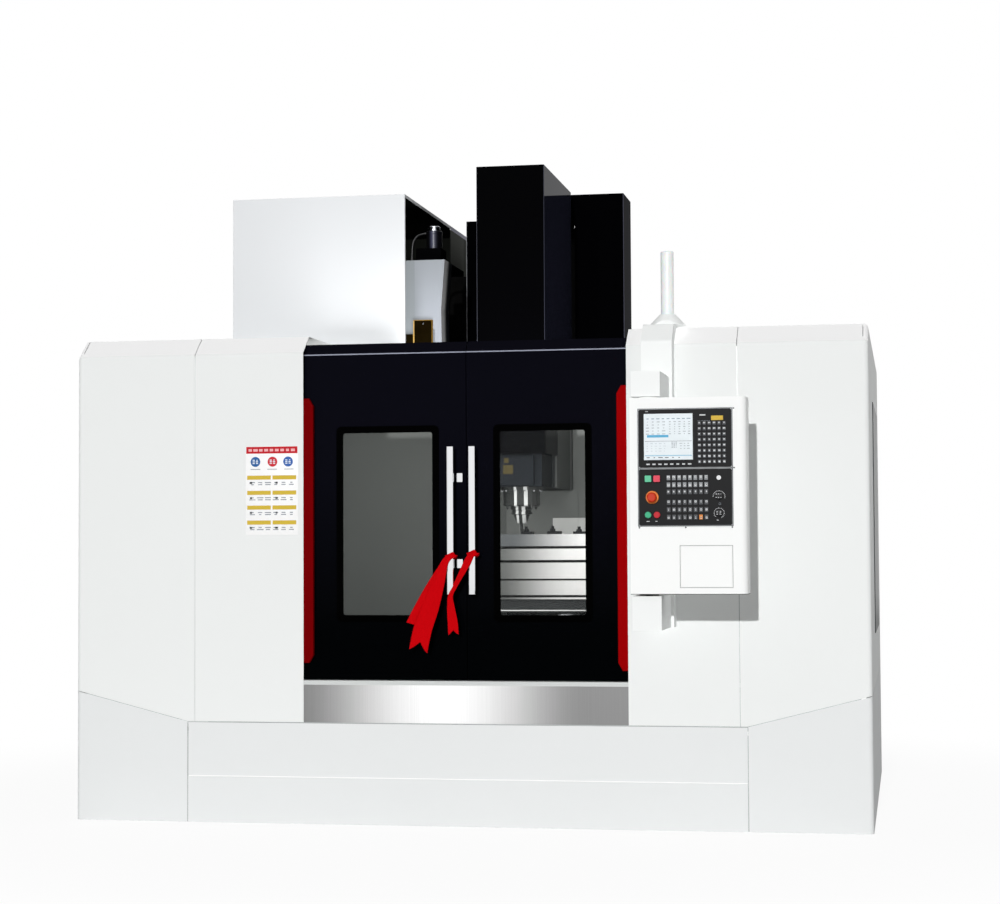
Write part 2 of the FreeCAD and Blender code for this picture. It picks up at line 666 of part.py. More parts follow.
for sign in (-1, 1):
    c = sign * PANEL_SEAM_X
    low_tube = low_tube.cut(box(c - TUBE / 2, c + TUBE / 2, 0, SHEET + TUBE_D, FRONT_SEAM + TUBE / 2, TOP))
tubes.append(low_tube.cut(step))
save("frame_tubes", tubes)
save("door_rails", [door_sill, header, door_bar])

# ------------------------------------------------------------- sliding doors
leaf_profile = [(DOOR_Y, DOOR_Z0), (DOOR_Y, DOOR_CREASE), (DOOR_Y + DOOR_BEVEL_RUN, DOOR_TOP),
                (DOOR_Y + DOOR_T, DOOR_TOP), (DOOR_Y + DOOR_T, DOOR_Z0)]
y_in, z_in, y_top = lean(DOOR_Y, DOOR_CREASE, DOOR_BEVEL_RUN, DOOR_TOP, DOOR_SHEET)
leaf_inner = [(y_in, DOOR_Z0 + DOOR_SHEET), (y_in, z_in), (y_top, DOOR_TOP - DOOR_SHEET),
              (DOOR_Y + DOOR_T + 20, DOOR_TOP - DOOR_SHEET), (DOOR_Y + DOOR_T + 20, DOOR_Z0 + DOOR_SHEET)]


def door(side, x0, x1, glass, handle_x, extra):
    gx0, gx1 = glass
    hole = plate_y(gx0, gx1, GLASS_Z0, GLASS_Z1, DOOR_Y - 20, DOOR_Y + 20, GLASS_R)
    leaf = prism_x(leaf_profile, x0, x1)
    leaf = leaf.cut(prism_x(leaf_inner, x0 + DOOR_SHEET, x1 - DOOR_SHEET)).cut(hole)
    bezel = plate_y(gx0 - BEZEL_W, gx1 + BEZEL_W, GLASS_Z0 - BEZEL_W, GLASS_Z1 + BEZEL_W,
                    DOOR_Y - BEZEL_T, DOOR_Y, BEZEL_R)
    bezel = bezel.cut(hole)
    back = DOOR_Y + DOOR_SHEET
    save(side + "_door_glass", box(gx0 - GLASS_LAP, gx1 + GLASS_LAP, back, back + GLASS_T,
                                   GLASS_Z0 - GLASS_LAP, GLASS_Z1 + GLASS_LAP))
    # Pull handle: rounded bar on two feet.
    section = rounded(handle_x - HANDLE_W / 2, handle_x + HANDLE_W / 2, HANDLE_Y, HANDLE_Y + HANDLE_D, HANDLE_R)
    bar = prism_z(section, HANDLE_Z0, HANDLE_Z1)
    for z in (HANDLE_Z0 + HANDLE_INSET, HANDLE_Z1 - HANDLE_INSET):
        foot = box(handle_x - HANDLE_FOOT / 2, handle_x + HANDLE_FOOT / 2, HANDLE_Y + HANDLE_D / 2, DOOR_Y,
                   z - HANDLE_FOOT / 2, z + HANDLE_FOOT / 2)
        bar = bar.fuse(foot)
    save(side + "_door_handle", [bar] + extra)
    # Hanger shoes gripping the flat bar above and below.
    shoes = []
    for x in (x0 + SHOE_INSET, x1 - SHOE_INSET):
        z0 = RAIL_Z - SHOE_CLEAR - SHOE_LIP
        z1 = RAIL_Z + RAIL_H + SHOE_CLEAR + SHOE_LIP
        shoe = box(x - SHOE_L / 2, x + SHOE_L / 2, DOOR_Y + DOOR_T, header_y - 2, z0, z1)
        shoe = shoe.cut(box(x - SHOE_L, x + SHOE_L, RAIL_Y - SHOE_CLEAR, header_y + 20,
                            RAIL_Z - SHOE_CLEAR, RAIL_Z + RAIL_H + SHOE_CLEAR))
        plate = box(x - SHOE_L / 2, x + SHOE_L / 2, DOOR_Y + DOOR_SHEET, DOOR_Y + DOOR_T, z0 - 30, z0 + 8)
        shoes.append(shoe.fuse(plate).fuse(box(x - SHOE_L / 2, x + SHOE_L / 2, DOOR_Y + DOOR_T,
                                               DOOR_Y + DOOR_T + 6, z0 - 30, z0 + 8)))
    save(side + "_door_leaf", [leaf, bezel] + shoes)


# Two small polished strike blocks on the edge of the left leaf.
strike_x = leaf_l1 - STRIKE_IN
strikes = [plate_y(strike_x - STRIKE_W, strike_x, z - STRIKE_H / 2, z + STRIKE_H / 2, DOOR_Y - STRIKE_OUT, DOOR_Y, 3)
           for z in STRIKE_Z]
door("left", leaf_l0, leaf_l1, LEFT_GLASS, LEFT_HANDLE_X, strikes)
door("right", leaf_r0, leaf_r1, RIGHT_GLASS, RIGHT_HANDLE_X, [])


# Ribbons tied to the handles: thin folded strips with swallow-tail ends.
def ribbon_strip(points, half, y_far, thick, tail):
    # points: centre line (x, z) of one hanging tail, its end notched by tail
    left = []
    right = []
    for i, (x, z) in enumerate(points):
        a = points[max(i - 1, 0)]
        b = points[min(i + 1, len(points) - 1)]
        length = math.hypot(b[0] - a[0], b[1] - a[1])
        nx = -(b[1] - a[1]) / length
        nz = (b[0] - a[0]) / length
        left.append((x + nx * half, z + nz * half))
        right.append((x - nx * half, z - nz * half))
    end = points[-1]
    prev = points[-2]
    length = math.hypot(end[0] - prev[0], end[1] - prev[1])
    notch = (end[0] - (end[0] - prev[0]) / length * tail, end[1] - (end[1] - prev[1]) / length * tail)
    return prism_y(left + [notch] + right[::-1], y_far - thick, y_far)


def ribbon_loop(handle_x, z0, z1, clear, thick):
    # band around the handle bar
    x0 = handle_x - HANDLE_W / 2 - clear
    x1 = handle_x + HANDLE_W / 2 + clear
    y0 = HANDLE_Y - clear
    y1 = HANDLE_Y + HANDLE_D + clear
    band = box(x0 - thick, x1 + thick, y0 - thick, y1 + thick, z0, z1)
    return band.cut(box(x0, x1, y0, y1, z0 - 5, z1 + 5))


front_of_loop = HANDLE_Y - RIBBON_CLEAR
for side, handle_x, tails in (("left", LEFT_HANDLE_X, LEFT_TAILS), ("right", RIGHT_HANDLE_X, RIGHT_TAILS)):
    ribbon = ribbon_loop(handle_x, RIBBON_Z, RIBBON_Z + RIBBON_KNOT, RIBBON_CLEAR, RIBBON_T)
    for layer, (half, notch, points) in enumerate(tails):
        line = [(handle_x + x, RIBBON_Z + z) for x, z in points]
        ribbon = ribbon.fuse(ribbon_strip(line, half, front_of_loop - layer * RIBBON_T, RIBBON_T, notch))
    save(side + "_ribbon", ribbon)

# ----------------------------------------------------------- bed and its feet
ax = AXIS_X
bed = [(-BED_FOOT_HALF, BED_BOTTOM), (-BED_FOOT_HALF, BED_BOTTOM + BED_FLANGE), (-BED_HALF, BED_FLANK),
       (-BED_HALF, BED_TOP), (-TROUGH_HALF, BED_TOP), (-TROUGH_HALF, TROUGH_Z), (TROUGH_HALF, TROUGH_Z),
       (TROUGH_HALF, BED_TOP), (BED_HALF, BED_TOP), (BED_HALF, BED_FLANK),
       (BED_FOOT_HALF, BED_BOTTOM + BED_FLANGE), (BED_FOOT_HALF, BED_BOTTOM),
       (BED_HALF - BED_WALL, BED_BOTTOM), (BED_HALF - BED_WALL, BED_HOLLOW), (-BED_HALF + BED_WALL, BED_HOLLOW),
       (-BED_HALF + BED_WALL, BED_BOTTOM)]
bed = prism_y([(ax + x, z) for x, z in bed], BED_FRONT, BED_REAR)
pocket_y = BED_FRONT + POCKET_EDGE
while pocket_y + POCKET_L < BED_REAR - POCKET_EDGE / 2:
    for s in (-1, 1):
        near, far = sorted((ax + s * (BED_HALF - POCKET_D), ax + s * BED_FOOT_HALF))
        bed = bed.cut(box(near, far, pocket_y, pocket_y + POCKET_L, BED_HOLLOW - POCKET_H, BED_HOLLOW))
    pocket_y += POCKET_PITCH

feet = []
foot_ys = [BED_FRONT + FOOT_EDGE + i * (BED_REAR - BED_FRONT - 2 * FOOT_EDGE) / 3 for i in range(4)]
for sign in (-1, 1):
    for y in foot_ys:
        x = ax + sign * (BED_FOOT_HALF - FOOT_EDGE)
        pad = turned(8, ((FOOT_R, 0), (FOOT_R * 0.8, FOOT_T)), (x, y, 0))
        feet.append(pad.fuse(turned(6, ((FOOT_STEM_R, FOOT_T - 1), (FOOT_STEM_R, BED_BOTTOM)), (x, y, 0))))
save("levelling_feet", feet)

# Chip pans sloping from the side panels down to the bed.
pan_y0 = sill_back
pan_high = WALL_Z0 + PAN_DROP
pan_l = [(-inside, pan_high), (ax - BED_HALF, WALL_Z0 + PAN_T), (ax - BED_HALF, WALL_Z0), (-inside, pan_high - PAN_T)]
pan_r = [(inside, pan_high), (ax + BED_HALF, WALL_Z0 + PAN_T), (ax + BED_HALF, WALL_Z0), (inside, pan_high - PAN_T)]
pans = [prism_y(pan_l, pan_y0, WALL_Y), prism_y(pan_r, pan_y0, WALL_Y)]

# Rear wall of the chamber, open for the head's carriage and around the bed.
wall = box(-inside, inside, WALL_Y, WALL_Y + SHEET, pan_high - 60, roof_z).common(room)
wall = wall.cut(box(ax - WALL_SLOT_HALF, ax + WALL_SLOT_HALF, WALL_Y - 5, WALL_Y + 20, WALL_SLOT_Z0, TOP))
wall = wall.cut(box(ax - BED_HALF, ax + BED_HALF, WALL_Y - 5, WALL_Y + 20, 0, BED_TOP))
for sign in (-1, 1):
    x0, x1 = sorted((sign * (inside - TUBE_D), sign * inside))
    wall = wall.cut(box(x0, x1, WALL_Y - 5, WALL_Y + 20, 0, SIDE_SEAM + TUBE / 2))
left_wall = wall.common(box(-wide, ax - WALL_SLOT_HALF, 0, DEPTH, 0, TOP))
right_wall = wall.common(box(ax + WALL_SLOT_HALF, wide, 0, DEPTH, 0, TOP))
low_wall = wall.common(box(ax - WALL_SLOT_HALF, ax + WALL_SLOT_HALF, 0, DEPTH, 0, TOP))
save("chamber_linings", pans + [left_wall, right_wall, low_wall])

# --------------------------------------------------- Y axis: rails and screw
y_rail_z = BED_TOP
rail_y0 = BED_FRONT + 10
rail_y1 = WALL_Y - 20


def rail_section(x, z):
    # guide rail section with its waist, as (x, z) points
    w = RAIL_W / 2
    return [(x - w, z), (x - w, z + RAIL_HT * 0.45), (x - w * 0.72, z + RAIL_HT * 0.6), (x - w, z + RAIL_HT * 0.8),
            (x - w, z + RAIL_HT), (x + w, z + RAIL_HT), (x + w, z + RAIL_HT * 0.8), (x + w * 0.72, z + RAIL_HT * 0.6),
            (x + w, z + RAIL_HT * 0.45), (x + w, z)]


y_rails = [prism_y(rail_section(ax + s * Y_RAIL_X, y_rail_z), rail_y0, rail_y1) for s in (-1, 1)]
y_screw_z = BED_TOP - 45
y_screw_y0 = BED_FRONT + 60
y_screw_y1 = rail_y1 - 60
y_screw = cyl(ax, y_screw_y0, y_screw_z, SCREW_R, y_screw_y1 - y_screw_y0, (0, 1, 0))
journal_r = SCREW_R - 5
y_screw = y_screw.fuse(cyl(ax, BED_FRONT - 15, y_screw_z, journal_r, 80, (0, 1, 0)))
save("y_screw", y_screw)
bearing_half = 45.0
bearing_block = box(ax - TROUGH_HALF, ax + TROUGH_HALF, BED_FRONT, BED_FRONT + 50, TROUGH_Z, y_screw_z + bearing_half)
bearing_block = bearing_block.cut(cyl(ax, BED_FRONT - 5, y_screw_z, journal_r + SHAFT_CLEAR, 60, (0, 1, 0)))
y_motor = box(ax - MOTOR / 2, ax + MOTOR / 2, BED_FRONT - 115, BED_FRONT - 16,
              y_screw_z - MOTOR / 2, y_screw_z + MOTOR / 2)
y_motor = y_motor.makeChamfer(MOTOR_EDGE, [e for e in y_motor.Edges if e.BoundBox.YLength > 50])
y_motor = y_motor.fuse(box(ax - MOTOR / 2, ax + MOTOR / 2, BED_FRONT - 16, BED_FRONT,
                           y_screw_z - MOTOR / 2, y_screw_z + MOTOR / 2))
y_motor = y_motor.cut(cyl(ax, BED_FRONT - 18, y_screw_z, journal_r + 3, 25, (0, 1, 0)))
save("bed", bed.fuse(bearing_block))

# ------------------------------------------------- saddle: rides on the Y rails
saddle_z0 = BED_TOP + RAIL_HT + BLOCK_TOP
saddle_z1 = saddle_z0 + SADDLE_T
block_ys = (SADDLE_Y0 + 30, SADDLE_Y1 - 30 - BLOCK_L)


def block_on_y_rail(x, y):
    # carriage block straddling a rail that runs along Y
    w = RAIL_W / 2 + BLOCK_CLEAR
    body = box(x - BLOCK_W / 2, x + BLOCK_W / 2, y, y + BLOCK_L, y_rail_z + 8, saddle_z0)
    return body.cut(box(x - w, x + w, y - 5, y + BLOCK_L + 5, y_rail_z, y_rail_z + RAIL_HT + BLOCK_CLEAR))


blocks = [block_on_y_rail(ax + sx * Y_RAIL_X, y) for sx in (-1, 1) for y in block_ys]
saddle = box(ax - SADDLE_HALF, ax + SADDLE_HALF, SADDLE_Y0, SADDLE_Y1, saddle_z0, saddle_z1)
saddle = saddle.cut(box(ax - SADDLE_HALF + 40, ax + SADDLE_HALF - 40, SADDLE_Y0 + 200, SADDLE_Y1 - 200,
                        saddle_z1 - 70, saddle_z1 + 10))
nut_y = (SADDLE_Y0 + SADDLE_Y1) / 2
nut = box(ax - 60, ax + 60, nut_y - 50, nut_y + 50, y_screw_z - 50, saddle_z0)
nut = nut.cut(cyl(ax, nut_y - 60, y_screw_z, SCREW_R + SCREW_CLEAR, 120, (0, 1, 0)))
table_cy = TABLE_Y0 + TABLE_W / 2
body_z0 = saddle_z1 + BLOCK_TOP + RAIL_HT


def table_rail(y):
    # the same rail section hung upside down under the table, as (y, z) points
    return [(y + px, body_z0 - pz) for px, pz in rail_section(0.0, 0.0)]


def block_on_saddle(x, y):
    # carriage block bolted to the saddle, open upwards for the table's rail
    w = RAIL_W / 2 + BLOCK_CLEAR
    body = box(x, x + BLOCK_L, y - BLOCK_W / 2, y + BLOCK_W / 2, saddle_z1, body_z0 - 8)
    return body.cut(box(x - 5, x + BLOCK_L + 5, y - w, y + w, body_z0 - RAIL_HT - BLOCK_CLEAR, body_z0))


x_block_xs = (ax + SADDLE_HALF - 5 - BLOCK_L, ax + SADDLE_HALF - 5 - BLOCK_L - X_BLOCK_PITCH)
x_blocks = [block_on_saddle(x, table_cy + s * X_RAIL_Y) for s in (-1, 1) for x in x_block_xs]
save("saddle", [saddle.fuse(nut)] + blocks + x_blocks)

# Stepped stainless guard on the front of the saddle.
guard = box(ax - GUARD_HALF, ax + GUARD_HALF, SADDLE_Y0 - GUARD_T, SADDLE_Y0, GUARD_LEDGE, GUARD_BANDS[0][1])
ledge_y = GUARD_Y + GUARD_STEP * len(GUARD_BANDS) - 12
guard = guard.fuse(box(ax - GUARD_HALF, ax + GUARD_HALF, ledge_y, SADDLE_Y0, GUARD_LEDGE, GUARD_LEDGE + 8))
for i, (z0, z1) in enumerate(GUARD_BANDS):
    face = GUARD_Y + i * GUARD_STEP
    guard = guard.fuse(box(ax - GUARD_HALF, ax + GUARD_HALF, face, SADDLE_Y0 - GUARD_T, z0, z1))
save("saddle_guard", guard)

# ------------------------------------------------- table: rides on the X rails
table_x1 = TABLE_X0 + TABLE_L
table_y1 = TABLE_Y0 + TABLE_W
slab_z0 = TABLE_TOP - TABLE_SLAB
table = box(TABLE_X0, table_x1, TABLE_Y0, table_y1, slab_z0, TABLE_TOP)
foot_plate = box(TABLE_X0 + 20, table_x1 - 20, TABLE_Y0 + TABLE_BODY_IN, table_y1 - TABLE_BODY_IN, body_z0, slab_z0)
table = table.fuse(foot_plate)
for i in range(SLOT_COUNT):
    y = table_cy + (i - (SLOT_COUNT - 1) / 2) * SLOT_PITCH
    slot = box(TABLE_X0 - 5, table_x1 + 5, y - SLOT_W / 2, y + SLOT_W / 2, TABLE_TOP - SLOT_DEPTH, TABLE_TOP + 5)
    wide_foot = box(TABLE_X0 - 5, table_x1 + 5, y - SLOT_FOOT_W / 2, y + SLOT_FOOT_W / 2,
                    TABLE_TOP - SLOT_DEPTH, TABLE_TOP - SLOT_DEPTH + SLOT_FOOT_H)
    table = table.cut(slot.fuse(wide_foot))
save("table", table)
x_rails = [prism_x(table_rail(table_cy + s * X_RAIL_Y), TABLE_X0 + 22, table_x1 - 22) for s in (-1, 1)]

# Clamps held in the front T-slot: strap, hexagon nut, stud and T-nut in one.
clamps = []
clamp_y = table_cy - (SLOT_COUNT - 1) / 2 * SLOT_PITCH
slot_z0 = TABLE_TOP - SLOT_DEPTH
for offset, w, h in CLAMPS:
    x = TABLE_X0 + offset
    strap_top = TABLE_TOP + h * 0.55
    bolt_x = x + w * 0.35
    strap = box(x, x + w, clamp_y - 34, clamp_y + 26, TABLE_TOP, strap_top)
    stud_top = TABLE_TOP + h + CLAMP_STUD_OUT
    stud = turned(8, ((CLAMP_STUD_R, slot_z0 + 0.3), (CLAMP_STUD_R, stud_top)), (bolt_x, clamp_y, 0))
    clamp_nut = turned(6, ((CLAMP_NUT_R, strap_top), (CLAMP_NUT_R, TABLE_TOP + h)), (bolt_x, clamp_y, 0))
    half = SLOT_FOOT_W / 2 - 0.5
    t_nut = box(bolt_x - 14, bolt_x + 14, clamp_y - half, clamp_y + half, slot_z0, slot_z0 + SLOT_FOOT_H - 0.4)
    clamps.append(strap.fuse(clamp_nut).fuse(stud).fuse(t_nut))
save("table_fittings", x_rails + clamps)

# --------------------------------------------------------------- the column
column = box(ax - COLUMN_HALF, ax + COLUMN_HALF, COLUMN_Y0, COLUMN_Y1, BED_TOP, COLUMN_TOP)
column = column.cut(box(ax - COLUMN_HALF + COLUMN_WALL, ax + COLUMN_HALF - COLUMN_WALL,
                        COLUMN_Y0 + COLUMN_FRONT, COLUMN_Y1 - COLUMN_WALL, BED_TOP + 60, COLUMN_TOP - 60))
column = column.cut(box(ax - 75, ax + 75, COLUMN_Y0 - 5, COLUMN_Y0 + 80, Z_RAIL_Z0 - 40, COLUMN_TOP + 5))
for z in COLUMN_WINDOWS:
    top = z + WINDOW_H
    bevelled = [(-WINDOW_HALF, z + WINDOW_EDGE), (-WINDOW_HALF, top - WINDOW_EDGE), (-WINDOW_HALF + WINDOW_EDGE, top),
                (WINDOW_HALF - WINDOW_EDGE, top), (WINDOW_HALF, top - WINDOW_EDGE), (WINDOW_HALF, z + WINDOW_EDGE),
                (WINDOW_HALF - WINDOW_EDGE, z), (-WINDOW_HALF + WINDOW_EDGE, z)]
    column = column.cut(prism_y([(ax + x, h) for x, h in bevelled], COLUMN_Y1 - COLUMN_WALL - 10, COLUMN_Y1 + 5))


def rail_section_z(x, y):
    return [(px, y - pz) for px, pz in rail_section(x, 0.0)]


z_rails = [prism_z(rail_section_z(ax + s * Z_RAIL_X, COLUMN_Y0), Z_RAIL_Z0, Z_RAIL_Z1) for s in (-1, 1)]
save("guide_rails", y_rails + z_rails)
screw_y = COLUMN_Y0 - 6
z_screw_z0 = Z_RAIL_Z0 + 40
z_screw = cyl(ax, screw_y, z_screw_z0, SCREW_R, Z_RAIL_Z1 - z_screw_z0)
z_screw = z_screw.fuse(cyl(ax, screw_y, Z_RAIL_Z1 - 1, journal_r, 40))
save("z_screw", z_screw)
z_mount_z = Z_RAIL_Z1 + 8
z_mount = box(ax - 75, ax + 75, screw_y - 50, COLUMN_Y0 + 80, z_mount_z, z_mount_z + 22)
z_mount = z_mount.cut(cyl(ax, screw_y, z_mount_z - 5, journal_r + SHAFT_CLEAR, 40))
z_motor_top = z_mount_z + 120
z_motor = box(ax - 60, ax + 60, screw_y - 50, screw_y + 70, z_mount_z + 22, z_motor_top)
z_motor = z_motor.makeChamfer(MOTOR_EDGE, [e for e in z_motor.Edges if e.BoundBox.ZLength > 50])
z_motor = z_motor.cut(cyl(ax, screw_y, z_mount_z, journal_r + 3, 32))
save("column", column.fuse(z_mount))
save("servo_motors", [y_motor, z_motor])

# Black sheet covers of the column above the roof.
shroud = box(SHROUD_X0, SHROUD_X1, SHROUD_Y0, SHROUD_Y1, TOP, SHROUD_TOP)
shroud = shroud.cut(box(SHROUD_X0 + COVER_SHEET, SHROUD_X1 + 5, SHROUD_Y0 + COVER_SHEET, SHROUD_Y1 + 5,
                        TOP - 5, SHROUD_TOP - COVER_SHEET))
slot_half = CARRIAGE_HALF + 10
shroud = shroud.cut(box(ax - slot_half, SHROUD_X1 + 5, SHROUD_Y0 - 5, SHROUD_Y0 + 10, TOP - 5, z_motor_top + 4))
for z in (SEAT_Z, SEAT_Z + 300):
    shroud = shroud.fuse(box(SHROUD_X0, ax - COLUMN_HALF, COLUMN_Y0 + 40, COLUMN_Y0 + 80, z, z + 60))
chain = box(CHAIN_X0, CHAIN_X1, SHROUD_Y0, CHAIN_Y1, TOP, CHAIN_TOP)
ledge_z = SHROUD_TOP + SEAM_GAP
chain = chain.fuse(box(CHAIN_LEDGE_X, CHAIN_X0, SHROUD_Y0, CHAIN_Y1, ledge_z, CHAIN_TOP))
chain = chain.cut(box(CHAIN_X0 + COVER_SHEET, CHAIN_X1 - COVER_SHEET, SHROUD_Y0 + COVER_SHEET,
                      CHAIN_Y1 - COVER_SHEET, TOP - 5, CHAIN_TOP - COVER_SHEET))
chain = chain.cut(box(CHAIN_LEDGE_X + COVER_SHEET, CHAIN_X1 - COVER_SHEET, SHROUD_Y0 + COVER_SHEET,
                      CHAIN_Y1 - COVER_SHEET, ledge_z + COVER_SHEET, CHAIN_TOP - COVER_SHEET))
chain = chain.cut(box(CHAIN_X0 - 5, ax + COLUMN_HALF + 1, COLUMN_Y0 - 1, CHAIN_Y1 + 5, TOP - 5, COLUMN_TOP + 1))
chain = chain.cut(box(CHAIN_X0 - 5, CHAIN_X0 + 10, SHROUD_Y0 + COVER_SHEET, CHAIN_Y1 + 5, TOP - 5, COLUMN_TOP + 1))
notch = [(CHAIN_Y1 + 5, TOP - 5), (CHAIN_Y1 - CHAIN_NOTCH, TOP - 5), (CHAIN_Y1 - CHAIN_NOTCH, TOP + 30),
         (CHAIN_Y1 + 5, TOP + CHAIN_NOTCH)]
chain = chain.cut(prism_x(notch, CHAIN_X0, CHAIN_X1 + 5))
chain_seat = box(ax + COLUMN_HALF, CHAIN_X1 - COVER_SHEET, COLUMN_Y0 + 40, COLUMN_Y0 + 80, SEAT_Z, SEAT_Z + 60)
save("column_covers", [shroud, chain.fuse(chain_seat)])

# --------------------------------------------------------------- the headstock
carriage = box(ax - CARRIAGE_HALF, ax + CARRIAGE_HALF, CARRIAGE_Y0, CARRIAGE_Y0 + CARRIAGE_T, CARRIAGE_Z0, CARRIAGE_Z1)
arm = box(ax - HEAD_HALF, ax + HEAD_HALF, HEAD_Y0, CARRIAGE_Y0, HEAD_Z0, HEAD_Z1)
housing_half = NOSE_HALF - NOSE_SHEET - 5
housing = box(ax - housing_half, ax + housing_half, NOSE_Y0 + NOSE_SHEET + 5, HEAD_Y0, HEAD_Z0 + NOSE_SHEET, HEAD_Z1)
rib = prism_x([(CARRIAGE_Y0, HEAD_Z1), (CARRIAGE_Y0, CARRIAGE_Z1 - 20), (CARRIAGE_Y0 - 15, CARRIAGE_Z1 - 20),
               (CARRIAGE_Y0 - 15, HEAD_Z1)], ax - CARRIAGE_HALF, ax + CARRIAGE_HALF)
z_nut_z = CARRIAGE_Z0 + 250
z_nut = box(ax - 45, ax + 45, CARRIAGE_Y0 + CARRIAGE_T, screw_y + 40, z_nut_z, z_nut_z + 120)
z_nut = z_nut.cut(cyl(ax, screw_y, z_nut_z - 5, SCREW_R + SCREW_CLEAR, 140))
headstock = carriage.fuse(arm).fuse(housing).fuse(rib).fuse(z_nut)
cartridge_seat = turned(24, ((SEAT_R, HEAD_Z0 - 5), (SEAT_R, HEAD_Z1 + 5)), (ax, SPINDLE_Y, 0))
headstock = headstock.cut(cartridge_seat)
z_blocks = []
for s in (-1, 1):
    for z in (CARRIAGE_Z0 + 20, CARRIAGE_Z1 - 20 - BLOCK_L):
        x = ax + s * Z_RAIL_X
        w = RAIL_W / 2 + BLOCK_CLEAR
        b = box(x - w - 4, x + w + 4, CARRIAGE_Y0 + CARRIAGE_T, COLUMN_Y0 - 8, z, z + BLOCK_L)
        rail_room = box(x - w, x + w, COLUMN_Y0 - RAIL_HT - BLOCK_CLEAR, COLUMN_Y0, z - 5, z + BLOCK_L + 5)
        z_blocks.append(b.cut(rail_room))
apron = box(ax - APRON_HALF, ax + APRON_HALF, APRON_Y, APRON_Y + 3, APRON_Z0, HEAD_Z0)
apron = apron.fuse(box(ax - HEAD_HALF, ax + HEAD_HALF, APRON_Y - 60, APRON_Y, HEAD_Z0 - 3, HEAD_Z0))
save("headstock", [headstock, apron] + z_blocks)

# Dark cover around the spindle housing and its front plate.
nose = box(ax - NOSE_HALF, ax + NOSE_HALF, NOSE_Y0, HEAD_Y0, HEAD_Z0, NOSE_TOP)
nose = nose.cut(box(ax - NOSE_HALF + NOSE_SHEET, ax + NOSE_HALF - NOSE_SHEET, NOSE_Y0 + NOSE_SHEET, HEAD_Y0 + 5,
                    HEAD_Z0 + NOSE_SHEET, NOSE_TOP + 5))
nose = nose.cut(turned(24, ((SEAT_R, HEAD_Z0 - 5), (SEAT_R, HEAD_Z0 + 15)), (ax, SPINDLE_Y, 0)))
face_plate = plate_y(ax - FACE_HALF, ax + FACE_HALF, HEAD_Z0 + FACE_EDGE, NOSE_TOP - FACE_EDGE,
                     NOSE_Y0 - FACE_T, NOSE_Y0, 4)
save("nose_cover", [nose, face_plate])

# Tall cover that rises with the head.
cover_rear_z = HEAD_Z1 + 3
profile = [(COVER_Y0, NOSE_TOP), (COVER_Y0, COVER_TOP), (COVER_Y1, COVER_TOP), (COVER_Y1, cover_rear_z),
           (HEAD_Y0, cover_rear_z), (HEAD_Y0, NOSE_TOP)]
cover = prism_x(profile, COVER_X0, COVER_X1)
edges = [e for e in cover.Edges if e.BoundBox.XLength < 0.01 and abs(e.BoundBox.YMin - COVER_Y0) < 0.01
         and e.BoundBox.ZLength > 100]
cover = cover.makeFillet(5, edges)
hollow = box(COVER_X0 + COVER_SHEET, COVER_X1 - COVER_SHEET, COVER_Y0 + COVER_SHEET, COVER_Y1 - COVER_SHEET,
             cover_rear_z - 5, COVER_TOP - COVER_SHEET)
low_hollow = box(COVER_X0 + COVER_SHEET, COVER_X1 - COVER_SHEET, COVER_Y0 + COVER_SHEET, HEAD_Y0 + 5,
                 NOSE_TOP - 5, cover_rear_z + 5)
cover = cover.cut(hollow).cut(low_hollow)
# The floor strip under the front overhang closes it against chips.
strip = box(COVER_X0 + COVER_SHEET, COVER_X1 - COVER_SHEET, COVER_Y0 + COVER_SHEET, NOSE_Y0 + NOSE_SHEET,
            NOSE_TOP, NOSE_TOP + COVER_SHEET)
side_strips = [box(COVER_X0 + COVER_SHEET, ax - housing_half - 1, NOSE_Y0, HEAD_Y0, NOSE_TOP, NOSE_TOP + COVER_SHEET),
               box(ax + housing_half + 1, COVER_X1 - COVER_SHEET, NOSE_Y0, HEAD_Y0, NOSE_TOP, NOSE_TOP + COVER_SHEET)]
cover = cover.fuse(strip).fuse(side_strips[0]).fuse(side_strips[1])
save("head_cover", cover)

# Spindle cartridge, its collar, and the motor on top of the housing.
axis_foot = (ax, SPINDLE_Y, 0)
cartridge = turned(24, ((CARTRIDGE_R - CARTRIDGE_EDGE, CARTRIDGE_Z0), (CARTRIDGE_R, CARTRIDGE_Z0 + CARTRIDGE_EDGE),
                        (CARTRIDGE_R, HEAD_Z0 - COLLAR_T)), axis_foot)
cartridge = cartridge.fuse(turned(24, ((COLLAR_R, HEAD_Z0 - COLLAR_T), (COLLAR_R, HEAD_Z0)), axis_foot))
cartridge = cartridge.fuse(turned(24, ((SEAT_R, HEAD_Z0 - 1), (SEAT_R, HEAD_Z0 + SEAT_L)), axis_foot))
cartridge = cartridge.cut(cyl(ax, SPINDLE_Y, CARTRIDGE_Z0 - 5, SHAFT_R + SHAFT_CLEAR, SEAT_L + 200))
motor_plate = box(ax - 117, ax + 117, SPINDLE_Y - 125, SPINDLE_Y + 105, HEAD_Z1, HEAD_Z1 + 20)
motor = motor_plate.fuse(cyl(ax, SPINDLE_Y - 8, HEAD_Z1 + 19, SPINDLE_MOTOR_R - 8, SPINDLE_MOTOR_L))
motor = motor.fuse(box(ax - 60, ax + 60, SPINDLE_Y - 8, SPINDLE_Y + 150, HEAD_Z1 + 340, HEAD_Z1 + 440))
save("spindle_motor", motor)
